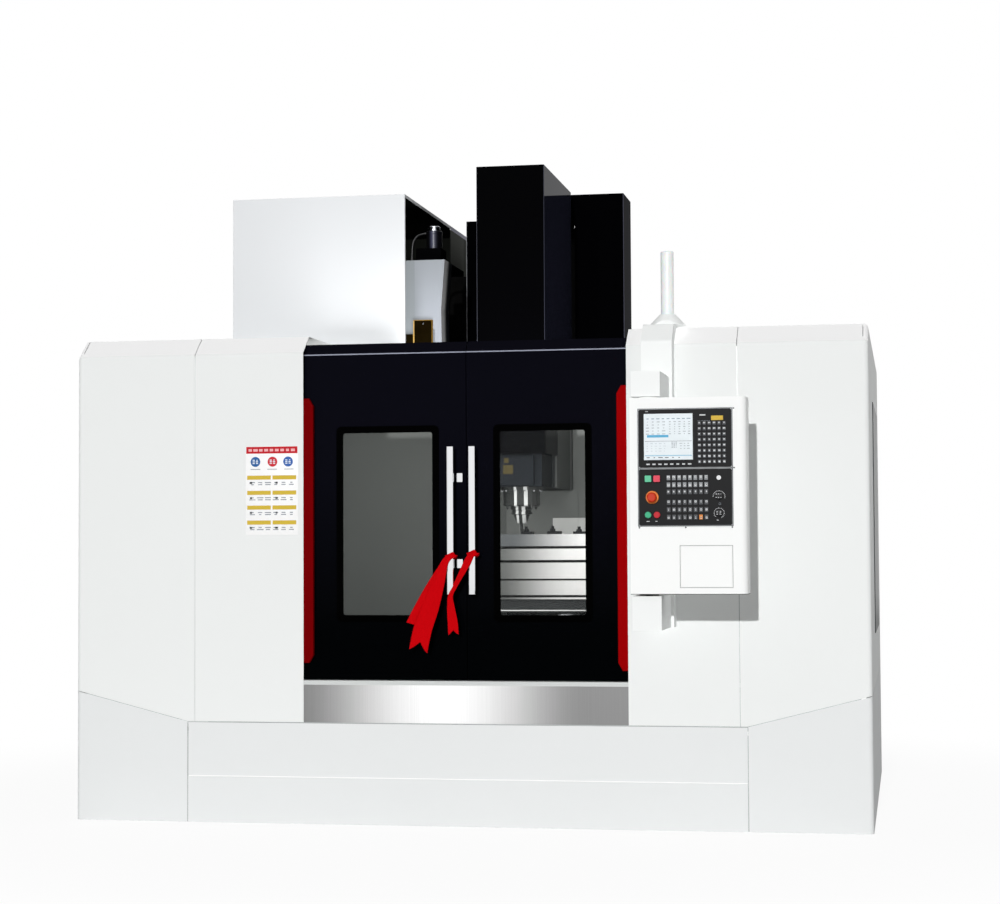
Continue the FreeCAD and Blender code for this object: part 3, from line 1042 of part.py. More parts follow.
# Four coolant nozzles around its lower edge.
for sx in (-1, 1):
    for sy in (-1, 1):
        x = ax + sx * NOZZLE_AT
        y = SPINDLE_Y + sy * NOZZLE_AT
        nozzle = turned(6, ((NOZZLE_R * 0.6, CARTRIDGE_Z0 - NOZZLE_OUT), (NOZZLE_R, CARTRIDGE_Z0 - NOZZLE_OUT + 5),
                            (NOZZLE_R, CARTRIDGE_Z0 + 10)), (x, y, 0))
        cartridge = cartridge.fuse(nozzle)
save("spindle_cartridge", cartridge)

# Rotating spindle: shaft, tool holder and end mill.
spindle = cyl(ax, SPINDLE_Y, CARTRIDGE_Z0 - 4, SHAFT_R, 250)
spindle = spindle.fuse(cyl(ax, SPINDLE_Y, CARTRIDGE_Z0 - 6, HOLDER_R, 5.5))
gauge_z = CARTRIDGE_Z0 - 6
groove_r = HOLDER_R - 6
outline = [(HOLDER_R, gauge_z), (HOLDER_R, gauge_z - 9), (groove_r, gauge_z - 13), (groove_r, gauge_z - 18),
           (HOLDER_R, gauge_z - 22), (HOLDER_R, gauge_z - 30), (HOLDER_R - 12, gauge_z - 34),
           (HOLDER_TIP_R + 4, HOLDER_TIP_Z + 12), (HOLDER_TIP_R, HOLDER_TIP_Z)]
holder = turned(24, outline[::-1], (ax, SPINDLE_Y, 0))
mill = turned(12, ((TOOL_R, TOOL_TIP_Z), (TOOL_R, HOLDER_TIP_Z)), (ax, SPINDLE_Y, 0))
for i in range(3):
    a = math.radians(120 * i)
    flute = (ax + TOOL_R * math.cos(a), SPINDLE_Y + TOOL_R * math.sin(a), TOOL_TIP_Z)
    mill = mill.cut(turned(6, ((FLUTE_R, -1), (FLUTE_R, FLUTE_L)), flute))
save("spindle", [spindle, holder, mill])

# ------------------------------------------------- tool magazine and changer
mag = box(MAG_X0, MAG_X1, MAG_Y0, MAG_Y1, TOP, MAG_TOP)
edges = [e for e in mag.Edges if e.BoundBox.ZLength > 100 and e.BoundBox.YMax < MAG_Y0 + 1]
mag = mag.makeFillet(4, edges)
mag = mag.cut(box(MAG_X0 + MAG_SHEET, MAG_X1 - MAG_SHEET, MAG_Y0 + MAG_SHEET, MAG_Y1 - MAG_SHEET,
                  TOP - 5, MAG_TOP - MAG_SHEET))
mag = mag.cut(box(MAG_X1 - 10, MAG_X1 + 5, MAG_Y0 + MAG_LIP, MAG_OPEN_Y1, TOP - 5, MAG_TOP - MAG_LIP))

# Weldment that carries magazine and changer from the side of the column.
plate_x1 = CAM_X0
plate_x0 = CAM_X0 - 20
beam_y0 = SHROUD_Y1 + 40
beam_y1 = beam_y0 + 40
beam = box(plate_x0, ax - COLUMN_HALF, beam_y0, beam_y1, CARRIER_Z[0], CARRIER_Z[1])
plate = box(plate_x0, plate_x1, CAM_Y0 + 10, beam_y1, CARRIER_Z[0], CARRIER_Z[1] - 40)
mag_opening = box(MAG_X1 - 5, MAG_X1 + 5, beam_y0 - 4, beam_y1 + 4, CARRIER_Z[0] - 4, CARRIER_Z[1] + 4)
boss_x = DISC_X + 1
carrier = beam.fuse(plate)
boss = turned(16, ((BOSS_R, -1), (BOSS_R, plate_x0 - boss_x)), (plate_x0, DISC_Y, DISC_Z), (-1, 0, 0))
spigot = cyl(boss_x + 1, DISC_Y, DISC_Z, DISC_BORE, DISC_T + 20, (-1, 0, 0))
carrier = carrier.fuse(boss).fuse(spigot)
save("magazine_cover", mag.cut(mag_opening))

# Magazine disc with its pots.
disc = turned(32, ((DISC_R, 0), (DISC_R, DISC_T)), (DISC_X, DISC_Y, DISC_Z), (-1, 0, 0))
disc = disc.cut(cyl(DISC_X + 5, DISC_Y, DISC_Z, DISC_BORE + SHAFT_CLEAR, DISC_T + 10, (-1, 0, 0)))
for i in range(6):
    a = math.radians(60 * i)
    place = (DISC_X + 5, DISC_Y + WINDOW_RING * math.cos(a), DISC_Z + WINDOW_RING * math.sin(a))
    disc = disc.cut(turned(6, ((WINDOW_R, 0), (WINDOW_R, DISC_T + 10)), place, (-1, 0, 0)))
pots = []
for i in range(POT_COUNT):
    a = 2 * math.pi * i / POT_COUNT
    y = DISC_Y + POT_RING * math.cos(a)
    z = DISC_Z + POT_RING * math.sin(a)
    pot = turned(8, ((POT_R, 0), (POT_R, POT_L)), (DISC_X - DISC_T, y, z), (-1, 0, 0))
    taper = turned(6, ((POT_BORE, -1), (POT_BORE * 0.6, POT_L * 0.7)), (DISC_X - DISC_T - POT_L, y, z), (1, 0, 0))
    pots.append(pot.cut(taper))
save("magazine_wheel", [disc] + pots)

# Grey cover of the changer's cam box, gently waisted on its right.
waist = [(CAM_X0, CAM_Z0), (CAM_X1 - CAM_WAIST + 4, CAM_Z0), (CAM_X1 - CAM_WAIST, CAM_WAIST_Z),
         (CAM_X1, CAM_Z1), (CAM_X0, CAM_Z1)]
cam = prism_y(waist, CAM_Y0, CAM_Y1)
cam = cam.cut(cyl(ARM_X, ARM_Y, CAM_Z0 - 5, ARM_SHAFT_R + SHAFT_CLEAR, 200))
save("cam_box", cam)
motor_y = CAM_Y0 + 85
motor_z = CAM_Z1 + GEAR_H
gear_box = box(CAM_X0 + 45, CAM_X1 - 25, CAM_Y0 + 35, CAM_Y1 - 15, CAM_Z1, motor_z)
cap_z = motor_z + CHANGER_MOTOR_L
motor_base = (CHANGER_MOTOR_X, motor_y, 0)
motor = gear_box.fuse(turned(24, ((CHANGER_MOTOR_R, motor_z - 1), (CHANGER_MOTOR_R, cap_z)), motor_base))
cap = turned(24, ((CAP_R, cap_z), (CAP_R, cap_z + CAP_T)), motor_base)
cap = cap.fuse(turned(24, ((CAP_R + 5, cap_z), (CAP_R + 5, cap_z + 5)), motor_base))
# Cable from the motor's left side down onto the cam box, one route point after the other.
route = [Vector(CHANGER_MOTOR_X - CHANGER_MOTOR_R + x, motor_y, cap_z + z) for x, z in CABLE_ROUTE]
route.append(Vector(route[-1].x, motor_y, CAM_Z1))
start = route[0]
ring = [start + Vector(0, CABLE_R * math.cos(a), CABLE_R * math.sin(a)) for a in
        [math.radians(45 * i) for i in range(8)]]
ring = Part.makePolygon(ring + ring[:1])
cable = Part.makePolygon(route).makePipeShell([ring], True, False, 1).cut(motor)
save("changer_motor", [motor, cap, cable])

# Zinc-passivated bracket in front of the cam box, stepped down on its left.
bracket_y0 = CAM_Y0 - BRACKET_T
bracket = box(BRACKET_X[0], BRACKET_X[1], bracket_y0, CAM_Y0, BRACKET_Z[0], BRACKET_Z[2])
hole_x = (BRACKET_X[0] + BRACKET_X[1]) / 2
bracket = bracket.cut(turned(12, ((6, 0), (6, BRACKET_T + 10)), (hole_x, CAM_Y0 + 5, BRACKET_Z[2] - 17), (0, -1, 0)))
bracket = bracket.fuse(box(CAM_X0, BRACKET_X[0], bracket_y0, CAM_Y0, BRACKET_Z[0], BRACKET_Z[1]))
save("magazine_carrier", [carrier, bracket])

# Swing arm with two grippers, parked along Y.
arm_bar = box(ARM_X - ARM_HALF, ARM_X + ARM_HALF, ARM_Y - ARM_R + 20, ARM_Y + ARM_R - 20, ARM_Z, ARM_Z + ARM_T)
arm_bar = arm_bar.fuse(turned(16, ((ARM_HUB_R, -5), (ARM_HUB_R, ARM_T + 5)), (ARM_X, ARM_Y, ARM_Z)))
for s in (-1, 1):
    y = ARM_Y + s * ARM_R
    seat = turned(10, ((GRIP_R, -1), (GRIP_R, ARM_T + 1)), (ARM_X, y, ARM_Z))
    grip = turned(10, ((GRIP_R + GRIP_WALL, 8), (GRIP_R + GRIP_WALL, ARM_T - 8)), (ARM_X, y, ARM_Z))
    near, far = sorted((ARM_X - s * 10, ARM_X + s * 80))
    mouth = box(near, far, y - GRIP_MOUTH, y + GRIP_MOUTH, ARM_Z - 5, ARM_Z + ARM_T + 5)
    arm_bar = arm_bar.cut(seat).fuse(grip.cut(seat).cut(mouth))
arm_bar = arm_bar.fuse(cyl(ARM_X, ARM_Y, ARM_Z + ARM_T, ARM_SHAFT_R, CAM_Z0 + 120 - ARM_Z - ARM_T))
save("changer_arm", arm_bar)

# ------------------------------------------------------- pendant and its arm
roof_lift = TOP + CHANNEL_LIFT
channel = [(0, LOW_ARM[0]), (CHANNEL_Y, LOW_ARM[0]), (CHANNEL_Y, CREASE + 7), (CHANNEL_Y + 80, roof_lift),
           (CHANNEL_BACK, roof_lift), (CHANNEL_BACK, TOP), (BEVEL_RUN, TOP), (0, CREASE)]
channel = prism_x(channel, POST_X0, POST_X1)
channel = channel.cut(box(POST_X0 + 3, POST_X1 - 3, CHANNEL_Y + 3, 0, HIGH_ARM[1] + 40, CREASE - 40))
bent = [e for e in channel.Edges if e.BoundBox.XLength > 100 and e.BoundBox.ZMin > CREASE - 20
        and e.BoundBox.YMax < CHANNEL_Y + 90]
channel = channel.makeFillet(18, bent)
for z0, z1 in (LOW_ARM, HIGH_ARM):
    channel = channel.fuse(box(POST_X0, ARM_X1, ARM_FRONT_Y, CHANNEL_Y + 1, z0, z1))
channel = channel.cut(cyl(SWIVEL_X, SWIVEL_Y, LOW_ARM[1] - 40, SWIVEL_R + SHAFT_CLEAR, 60))
channel = channel.cut(cyl(SWIVEL_X, SWIVEL_Y, HIGH_ARM[0] - 5, SWIVEL_R + SHAFT_CLEAR, 45))

# Beacon: base fairing and milky tube.
dome = turned(28, ((TOWER_BASE_R, 0), (TOWER_R + 6, TOWER_BASE_H)), (TOWER_X, TOWER_Y, roof_lift))
dome = dome.common(box(POST_X0 - 60, POST_X1 + 60, CHANNEL_Y + 84, CHANNEL_BACK, roof_lift, TOWER_TOP))
save("pendant_arm", [channel, dome])
tube = turned(28, ((TOWER_R, roof_lift + TOWER_BASE_H), (TOWER_R, TOWER_TOP - 4), (TOWER_R - 4, TOWER_TOP)),
              (TOWER_X, TOWER_Y, 0))
save("beacon", tube)

# Pendant box: bent sheet shell with a rounded right edge.
pend_y1 = PEND_Y0 + PEND_D
shell = box(PEND_X0, PEND_X1, PEND_Y0, pend_y1, PEND_Z0, PEND_Z1)
big = [e for e in shell.Edges if e.BoundBox.ZLength > 100 and e.BoundBox.XMin > PEND_X1 - 1
       and e.BoundBox.YMax < PEND_Y0 + 1]
shell = shell.makeFillet(PEND_EDGE_R, big)
core = box(PEND_X0 + PEND_SHEET, PEND_X1 - PEND_SHEET, PEND_Y0 + PEND_SHEET, pend_y1 - PEND_SHEET,
           PEND_Z0 + PEND_SHEET, PEND_Z1 - PEND_SHEET)
big = [e for e in core.Edges if e.BoundBox.ZLength > 100 and e.BoundBox.XMin > PEND_X1 - 10
       and e.BoundBox.YMax < PEND_Y0 + 10]
core = core.makeFillet(PEND_EDGE_R - PEND_SHEET, big)
shell = shell.cut(core)
cut_in = 12.0
for z0, z1 in (SCREEN_Z, KEYS_Z):
    shell = shell.cut(box(PANEL_X0 + cut_in, PANEL_X1 - cut_in, PEND_Y0 - 5, PEND_Y0 + 10, z0 + cut_in, z1 - cut_in))
shell = shell.cut(box(FLAP_X[0], FLAP_X[1], PEND_Y0 - 5, PEND_Y0 + 10, FLAP_Z[0], FLAP_Z[1]))
for z0, z1, washer in ((LOW_ARM[1] - 38, PEND_Z0, PEND_Z0 - 5.0), (PEND_Z1, HIGH_ARM[0] + 36, PEND_Z1)):
    pin = cyl(SWIVEL_X, SWIVEL_Y, z0, SWIVEL_R, z1 - z0)
    shell = shell.fuse(pin.fuse(turned(16, ((SWIVEL_R + 25, washer), (SWIVEL_R + 25, washer + 5)), (SWIVEL_X, SWIVEL_Y, 0))))
save("pendant_box", shell)

# Screen unit and operator panel in one bright edge frame.
edge = box(PANEL_X0 - FRAME_EDGE, PANEL_X1 + FRAME_EDGE, PEND_Y0 - 3, PEND_Y0,
           KEYS_Z[0] - FRAME_EDGE, SCREEN_Z[1] + FRAME_EDGE)
for z0, z1 in (SCREEN_Z, KEYS_Z):
    edge = edge.cut(box(PANEL_X0, PANEL_X1, PEND_Y0 - 10, PEND_Y0 + 10, z0, z1))


def unit(z0, z1):
    front = plate_y(PANEL_X0, PANEL_X1, z0, z1, PEND_Y0 - PANEL_OUT, PEND_Y0, 6)
    back_box = box(PANEL_X0 + cut_in + 1, PANEL_X1 - cut_in - 1, PEND_Y0, PEND_Y0 + PANEL_BACK,
                   z0 + cut_in + 1, z1 - cut_in - 1)
    return front.fuse(back_box)


face_y = PEND_Y0 - PANEL_OUT
screen_unit = unit(*SCREEN_Z)
recess = box(DISPLAY_X[0] - 4, DISPLAY_X[1] + 4, face_y - 5, face_y + 3, DISPLAY_Z[0] - 4, DISPLAY_Z[1] + 4)
display = box(DISPLAY_X[0], DISPLAY_X[1], face_y + 1.5, face_y + 3, DISPLAY_Z[0], DISPLAY_Z[1])


def key_grid(x0, x1, z0, z1, columns, rows, w, h, y_face):
    keys = []
    for i in range(columns):
        for j in range(rows):
            x = x0 + w / 2 + i * (x1 - x0 - w) / (columns - 1)
            z = z0 + h / 2 + (j * (z1 - z0 - h) / (rows - 1) if rows > 1 else 0)
            keys.append(box(x - w / 2, x + w / 2, y_face - KEY_OUT, y_face, z - h / 2, z + h / 2))
    return keys


screen_keys = key_grid(*MDI_KEYS, face_y) + key_grid(*SOFT_KEYS, face_y)
save("screen_unit", [screen_unit.cut(recess), display] + screen_keys)
panel_keys = key_grid(*MODE_KEYS, face_y) + key_grid(*AXIS_KEYS, face_y)

panel = unit(*KEYS_Z)
well = ESTOP_PUSH + STEM_L
for x in SQUARE_X:
    h = SQUARE / 2 - STEM_IN + BUTTON_CLEAR
    panel = panel.cut(box(x - h, x + h, face_y - 5, face_y + well, SQUARE_Z - h, SQUARE_Z + h))
for x in ROUND_X:
    r = ROUND_R - STEM_IN + BUTTON_CLEAR
    panel = panel.cut(turned(8, ((r, -5), (r, well)), (x, face_y, ROUND_Z), (0, 1, 0)))
stop_well = turned(8, ((ESTOP_STEM_R + BUTTON_CLEAR, -20), (ESTOP_STEM_R + BUTTON_CLEAR, well)),
                   (ESTOP_X, face_y, ESTOP_Z), (0, 1, 0))
panel = panel.cut(stop_well)
for z in DIAL_Z:
    panel = panel.cut(cyl(DIAL_X, face_y - 5, z, DIAL_STEM_R + SHAFT_CLEAR, STEM_L + 5, (0, 1, 0)))
panel = panel.cut(cyl(DIAL_X, face_y - 5, LOCK_Z, DIAL_STEM_R + SHAFT_CLEAR, STEM_L + 5, (0, 1, 0)))

# Push buttons: a cap in front, a stem in its well.
for name, x in (("square_green_button", SQUARE_X[0]), ("square_red_button", SQUARE_X[1])):
    cap = plate_y(x - SQUARE / 2, x + SQUARE / 2, SQUARE_Z - SQUARE / 2, SQUARE_Z + SQUARE / 2,
                  face_y - BUTTON_OUT, face_y - BUTTON_PUSH - FACE_GAP, SQUARE_CORNER)
    h = SQUARE / 2 - STEM_IN
    save(name, cap.fuse(box(x - h, x + h, face_y - BUTTON_PUSH - 1, face_y + STEM_L, SQUARE_Z - h, SQUARE_Z + h)))
for name, x in (("round_green_button", ROUND_X[0]), ("round_red_button", ROUND_X[1])):
    centre = (x, face_y, ROUND_Z)
    cap = turned(24, ((ROUND_R, BUTTON_PUSH + FACE_GAP), (ROUND_R, BUTTON_OUT - BUTTON_EDGE),
                      (ROUND_R - BUTTON_EDGE, BUTTON_OUT)), centre, (0, -1, 0))
    save(name, cap.fuse(turned(8, ((ROUND_R - STEM_IN, -STEM_L), (ROUND_R - STEM_IN, BUTTON_PUSH + 1)), centre,
                               (0, -1, 0))))
stop_centre = (ESTOP_X, face_y, ESTOP_Z)
ring = turned(32, ((ESTOP_RING_R, 0), (ESTOP_RING_R, ESTOP_RING_T - 2), (ESTOP_RING_R - 2, ESTOP_RING_T)),
              stop_centre, (0, -1, 0))
save("operator_panel", [panel, ring.cut(stop_well)] + panel_keys)
head_y = ESTOP_RING_T + ESTOP_PUSH + FACE_GAP
head = turned(28, ((ESTOP_R - 2, head_y), (ESTOP_R, head_y + 2), (ESTOP_R, ESTOP_OUT - 6), (ESTOP_R - 2, ESTOP_OUT - 2),
                   (ESTOP_R - 6, ESTOP_OUT)), stop_centre, (0, -1, 0))
save("stop_button", head.fuse(turned(8, ((ESTOP_STEM_R, -STEM_L), (ESTOP_STEM_R, head_y + 1)), stop_centre, (0, -1, 0))))
knob_y = face_y - FACE_GAP
for name, z in (("feed_dial", DIAL_Z[0]), ("speed_dial", DIAL_Z[1])):
    knob = turned(24, ((DIAL_R, 0), (DIAL_R * 0.85, DIAL_OUT)), (DIAL_X, knob_y, z), (0, -1, 0))
    for s in (-1, 1):
        near, far = sorted((DIAL_X + s * DIAL_BLADE, DIAL_X + s * DIAL_R * 2))
        knob = knob.cut(box(near, far, knob_y - DIAL_OUT - 5, knob_y - DIAL_SKIRT, z - DIAL_R * 2, z + DIAL_R * 2))
    save(name, knob.fuse(cyl(DIAL_X, face_y + STEM_L - 2, z, DIAL_STEM_R, STEM_L, (0, -1, 0))))
lock = turned(24, ((LOCK_R, 0), (LOCK_R, LOCK_T)), (DIAL_X, knob_y, LOCK_Z), (0, -1, 0))
blade_x, blade_y, blade_z = KEY_BLADE
lock = lock.fuse(box(DIAL_X - blade_x, DIAL_X + blade_x, knob_y - blade_y, knob_y - LOCK_T, LOCK_Z - blade_z,
                     LOCK_Z + blade_z))
save("key_switch", lock.fuse(cyl(DIAL_X, face_y + STEM_L - 2, LOCK_Z, DIAL_STEM_R, STEM_L, (0, -1, 0))))
flap = box(FLAP_X[0] + FLAP_GAP, FLAP_X[1] - FLAP_GAP, PEND_Y0, PEND_Y0 + 2, FLAP_Z[0] + FLAP_GAP, FLAP_Z[1] - FLAP_GAP)
save("pendant_flap", flap)

# Screws of the pendant's panels: round heads at the frame's edge.
screws = []
mid_z = (KEYS_Z[1] + SCREEN_Z[0]) / 2
low_z = KEYS_Z[0] - SCREW_OUT
for x, z in ((PANEL_X0, low_z), ((PANEL_X0 + PANEL_X1) / 2, low_z), (PANEL_X1, low_z),
             (PANEL_X1 + SCREW_OUT, mid_z), (PANEL_X1 + SCREW_OUT, SCREEN_Z[1] + 2)):
    screws.append(turned(8, ((3.5, 0), (3.5, 1.5), (2.2, 3)), (x, PEND_Y0, z), (0, -1, 0)))
save("panel_frame", [edge] + screws)

# ------------------------------------------------------- electrical cabinet
cab_x0 = -inside
cab = box(cab_x0, CAB_X1, CAB_Y0, CAB_Y1, CAB_Z0, CAB_Z1)
cab = cab.cut(box(cab_x0 + CAB_SHEET, CAB_X1 - CAB_SHEET, CAB_Y0 + CAB_SHEET, CAB_Y1 + 5,
                  CAB_Z0 + CAB_SHEET, CAB_Z1 - CAB_SHEET))
lip = box(cab_x0, CAB_X1, CAB_Y1 - CAB_SHEET, CAB_Y1, CAB_Z0, CAB_Z1)
rim = CAB_MARGIN + CAB_LIP
lip = lip.cut(box(cab_x0 + rim, CAB_X1 - rim, CAB_Y1 - 5, CAB_Y1 + 5, CAB_Z0 + rim, CAB_Z1 - rim))
plate_front = CAB_Y0 + CAB_SHEET + BACK_PLATE_T
back_plate = box(cab_x0 + BACK_PLATE_IN, CAB_X1 - BACK_PLATE_IN, CAB_Y0 + CAB_SHEET, plate_front,
                 CAB_Z0 + BACK_PLATE_IN, CAB_Z1 - BACK_PLATE_IN)
drives = [back_plate]
for z, height, depth in DRIVE_ROWS:
    for i in range(3):
        x = cab_x0 + DRIVE_IN + i * DRIVE_PITCH
        drives.append(box(x, x + DRIVE_W, plate_front, plate_front + depth, z, z + height))
save("electrical_cabinet", [cab.fuse(lip)] + drives)
door_y = CAB_Y1 + FACE_GAP
x0 = cab_x0 + CAB_MARGIN
x1 = CAB_X1 - CAB_MARGIN
leaf = box(x0, x1, door_y, door_y + CAB_DOOR_T, CAB_Z0 + CAB_MARGIN, CAB_Z1 - CAB_MARGIN)
leaf = leaf.cut(box(x0 + DOOR_FOLD, x1 - DOOR_FOLD, door_y - 5, door_y + CAB_DOOR_T - DOOR_FOLD,
                    CAB_Z0 + CAB_MARGIN + DOOR_FOLD, CAB_Z1 - CAB_MARGIN - DOOR_FOLD))
sx = x1 - SWITCH_IN
leaf = leaf.cut(cyl(sx, door_y, SWITCH_Z, SWITCH_R + SHAFT_CLEAR, CAB_DOOR_T + 10, (0, 1, 0)))
save("cabinet_door", leaf)
grip_half, grip_d, grip_h = SWITCH_GRIP
grip_y = door_y + CAB_DOOR_T + FACE_GAP
switch = cyl(sx, grip_y - CAB_DOOR_T, SWITCH_Z, SWITCH_R, CAB_DOOR_T + 1, (0, 1, 0))
switch = switch.fuse(box(sx - grip_half, sx + grip_half, grip_y, grip_y + grip_d, SWITCH_Z - grip_h, SWITCH_Z + grip_h))
save("main_switch", switch)
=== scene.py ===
import math

import bmesh
import bpy
from mathutils import Matrix, Vector


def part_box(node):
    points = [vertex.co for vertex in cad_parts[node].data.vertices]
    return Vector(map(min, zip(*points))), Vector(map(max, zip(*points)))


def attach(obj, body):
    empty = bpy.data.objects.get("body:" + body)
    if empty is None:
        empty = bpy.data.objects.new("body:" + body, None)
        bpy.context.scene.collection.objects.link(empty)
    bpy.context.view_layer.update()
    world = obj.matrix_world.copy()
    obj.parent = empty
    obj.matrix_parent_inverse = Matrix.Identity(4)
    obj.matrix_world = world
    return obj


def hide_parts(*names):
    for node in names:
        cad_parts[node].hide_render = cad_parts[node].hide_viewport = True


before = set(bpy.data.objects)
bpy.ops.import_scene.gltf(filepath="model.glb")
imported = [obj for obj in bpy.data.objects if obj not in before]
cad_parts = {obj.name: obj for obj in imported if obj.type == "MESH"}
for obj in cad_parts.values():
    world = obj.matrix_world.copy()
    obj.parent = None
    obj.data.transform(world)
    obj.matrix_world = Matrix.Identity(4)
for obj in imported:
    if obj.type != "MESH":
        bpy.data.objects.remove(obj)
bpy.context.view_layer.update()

# ---------------------------------------------------------------- the camera
# The machine is seen from the front and a little from its right, at about chest
# height, through a long lens. Places in this file are millimetres from the
# enclosure's front face, the machine's middle and the floor.
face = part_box("front_panels")[0].y


def at(x, y, z):
    return Vector((x / 1000, face + y / 1000, z / 1000))


def placed(name, data):
    # an object in the scene, at the origin
    thing = bpy.data.objects.new(name, data)
    bpy.context.scene.collection.objects.link(thing)
    return thing


turn, tilt, roll = (math.radians(a) for a in (10.6234, 2.5009, -0.2995))
ahead = Vector((-math.sin(turn) * math.cos(tilt), math.cos(turn) * math.cos(tilt), math.sin(tilt)))
level = Vector((math.cos(turn), math.sin(turn), 0))
above = level.cross(ahead)
eye = at(1905.33, -9216.76, 1203.33)
camera = placed("camera", bpy.data.cameras.new("camera"))
camera.data.lens = 78.2347
camera.data.sensor_width = 36
camera.matrix_world = Matrix.Translation(eye) @ Matrix((
    level * math.cos(roll) + above * math.sin(roll),
    above * math.cos(roll) - level * math.sin(roll),
    -ahead)).transposed().to_4x4()
bpy.context.scene.camera = camera
bpy.context.scene.view_settings.view_transform = "Standard"

# --------------------------------------------------- cable of the changer motor
# Black rubber-sheathed lead, 12 mm thick, fixed at both ends: out of the motor's
# side, over in a bow, and down through the top of the cam box.
machine = "machine"


def srgb(code):
    # hex colour as written, turned to the linear values that a shader takes
    parts = [int(code[i:i + 2], 16) / 255 for i in (1, 3, 5)]
    return [p / 12.92 if p <= 0.04045 else ((p + 0.055) / 1.055) ** 2.4 for p in parts] + [1]


def add(tree, kind, inputs=None, **settings):
    # one node with its settings; an input that is given a socket is linked
    node = tree.nodes.new(kind)
    for name, value in settings.items():
        setattr(node, name, value)
    for name, value in (inputs or {}).items():
        if isinstance(value, bpy.types.NodeSocket):
            tree.links.new(value, node.inputs[name])
        else:
            node.inputs[name].default_value = value
    return node


def inside(tree, low, high):
    # 1 inside the box from low to high, in the object's own coordinates, else 0
    place = add(tree, "ShaderNodeTexCoord").outputs["Object"]
    middle = add(tree, "ShaderNodeVectorMath", {0: place, 1: (low + high) / 2}, operation="SUBTRACT")
    size = add(tree, "ShaderNodeVectorMath", {0: middle.outputs[0]}, operation="ABSOLUTE")
    share = add(tree, "ShaderNodeVectorMath", {0: size.outputs[0], 1: (high - low) / 2}, operation="DIVIDE")
    part = add(tree, "ShaderNodeSeparateXYZ", {0: share.outputs[0]})
    most = add(tree, "ShaderNodeMath", {0: part.outputs[0], 1: part.outputs[1]}, operation="MAXIMUM")
    most = add(tree, "ShaderNodeMath", {0: most.outputs[0], 1: part.outputs[2]}, operation="MAXIMUM")
    return add(tree, "ShaderNodeMath", {0: most.outputs[0], 1: 1.0}, operation="LESS_THAN").outputs[0]


def blank(name, **shine):
    # a new material with its tree and its shader, the shader's inputs set as given
    material = bpy.data.materials.new(name)
    material.use_nodes = True
    shader = material.node_tree.nodes["Principled BSDF"]
    for setting, value in shine.items():
        shader.inputs[setting.replace("_", " ")].default_value = value
    return material, material.node_tree, shader


def surface(name, colour, fades=(), patches=(), cloud=0.02, cloud_mm=700, grain_mm=5, grain_height=0.02,
            **shine):
    # a finish whose colour clouds a little and whose grain stands grain_height mm
    #  proud; a fade runs to its colour along an axis between two places, and each
    #  patch is the box of a place painted a colour of its own, be it the thing's colour or painted light or
    #  shade
    material, tree, shader = blank(name, **shine)
    place = add(tree, "ShaderNodeTexCoord").outputs["Object"]
    part = add(tree, "ShaderNodeSeparateXYZ", {0: place})
    tone = add(tree, "ShaderNodeMix", {0: 0.0, 6: srgb(colour), 7: srgb(colour)}, data_type="RGBA")
    for axis, start, end, other in fades:
        share = add(tree, "ShaderNodeMapRange", {"Value": part.outputs[axis], "From Min": start,
                                                 "From Max": end}, interpolation_type="SMOOTHSTEP")
        tone = add(tree, "ShaderNodeMix", {0: share.outputs[0], 6: tone.outputs[2], 7: srgb(other)},
                   data_type="RGBA")
    for low, high, other in patches:
        tone = add(tree, "ShaderNodeMix", {0: inside(tree, low, high), 6: tone.outputs[2], 7: srgb(other)},
                   data_type="RGBA")
    noise = add(tree, "ShaderNodeTexNoise", {"Vector": place, "Scale": 1000 / cloud_mm, "Detail": 3.0})
    value = add(tree, "ShaderNodeMapRange", {"Value": noise.outputs[0], "From Min": 0.3, "From Max": 0.7,
                                             "To Min": 1 - cloud, "To Max": 1 + cloud})
    cloudy = add(tree, "ShaderNodeHueSaturation", {"Color": tone.outputs[2], "Value": value.outputs[0]})
    tree.links.new(cloudy.outputs[0], shader.inputs["Base Color"])
    peel = add(tree, "ShaderNodeTexNoise", {"Vector": place, "Scale": 1000 / grain_mm, "Detail": 2.0})
    bump = add(tree, "ShaderNodeBump", {"Height": peel.outputs[0], "Distance": grain_height / 1000,
                                        "Strength": 1.0})
    tree.links.new(bump.outputs[0], shader.inputs["Normal"])
    return material


route = [(-347, 985, 2718), (-392, 985, 2718), (-421, 985, 2698), (-436, 985, 2658), (-436, 985, 2578)]
line = bpy.data.curves.new("changer_motor_cable", "CURVE")
line.dimensions = "3D"
line.bevel_depth = 0.006
line.bevel_resolution = 4
line.resolution_u = 16
spline = line.splines.new("NURBS")
spline.points.add(len(route) - 1)
for point, place in zip(spline.points, route):
    point.co = (*at(*place), 1)
spline.order_u = 3
spline.use_endpoint_u = True
rubber = surface("extruded_rubber_black", "#101113", cloud=0.05, cloud_mm=30, grain_mm=2, grain_height=0.05,
                 Roughness=0.35, Specular_IOR_Level=0.5)
line.materials.append(rubber)
cable = placed("changer_motor_cable", line)
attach(cable, machine)
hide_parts("changer_motor")

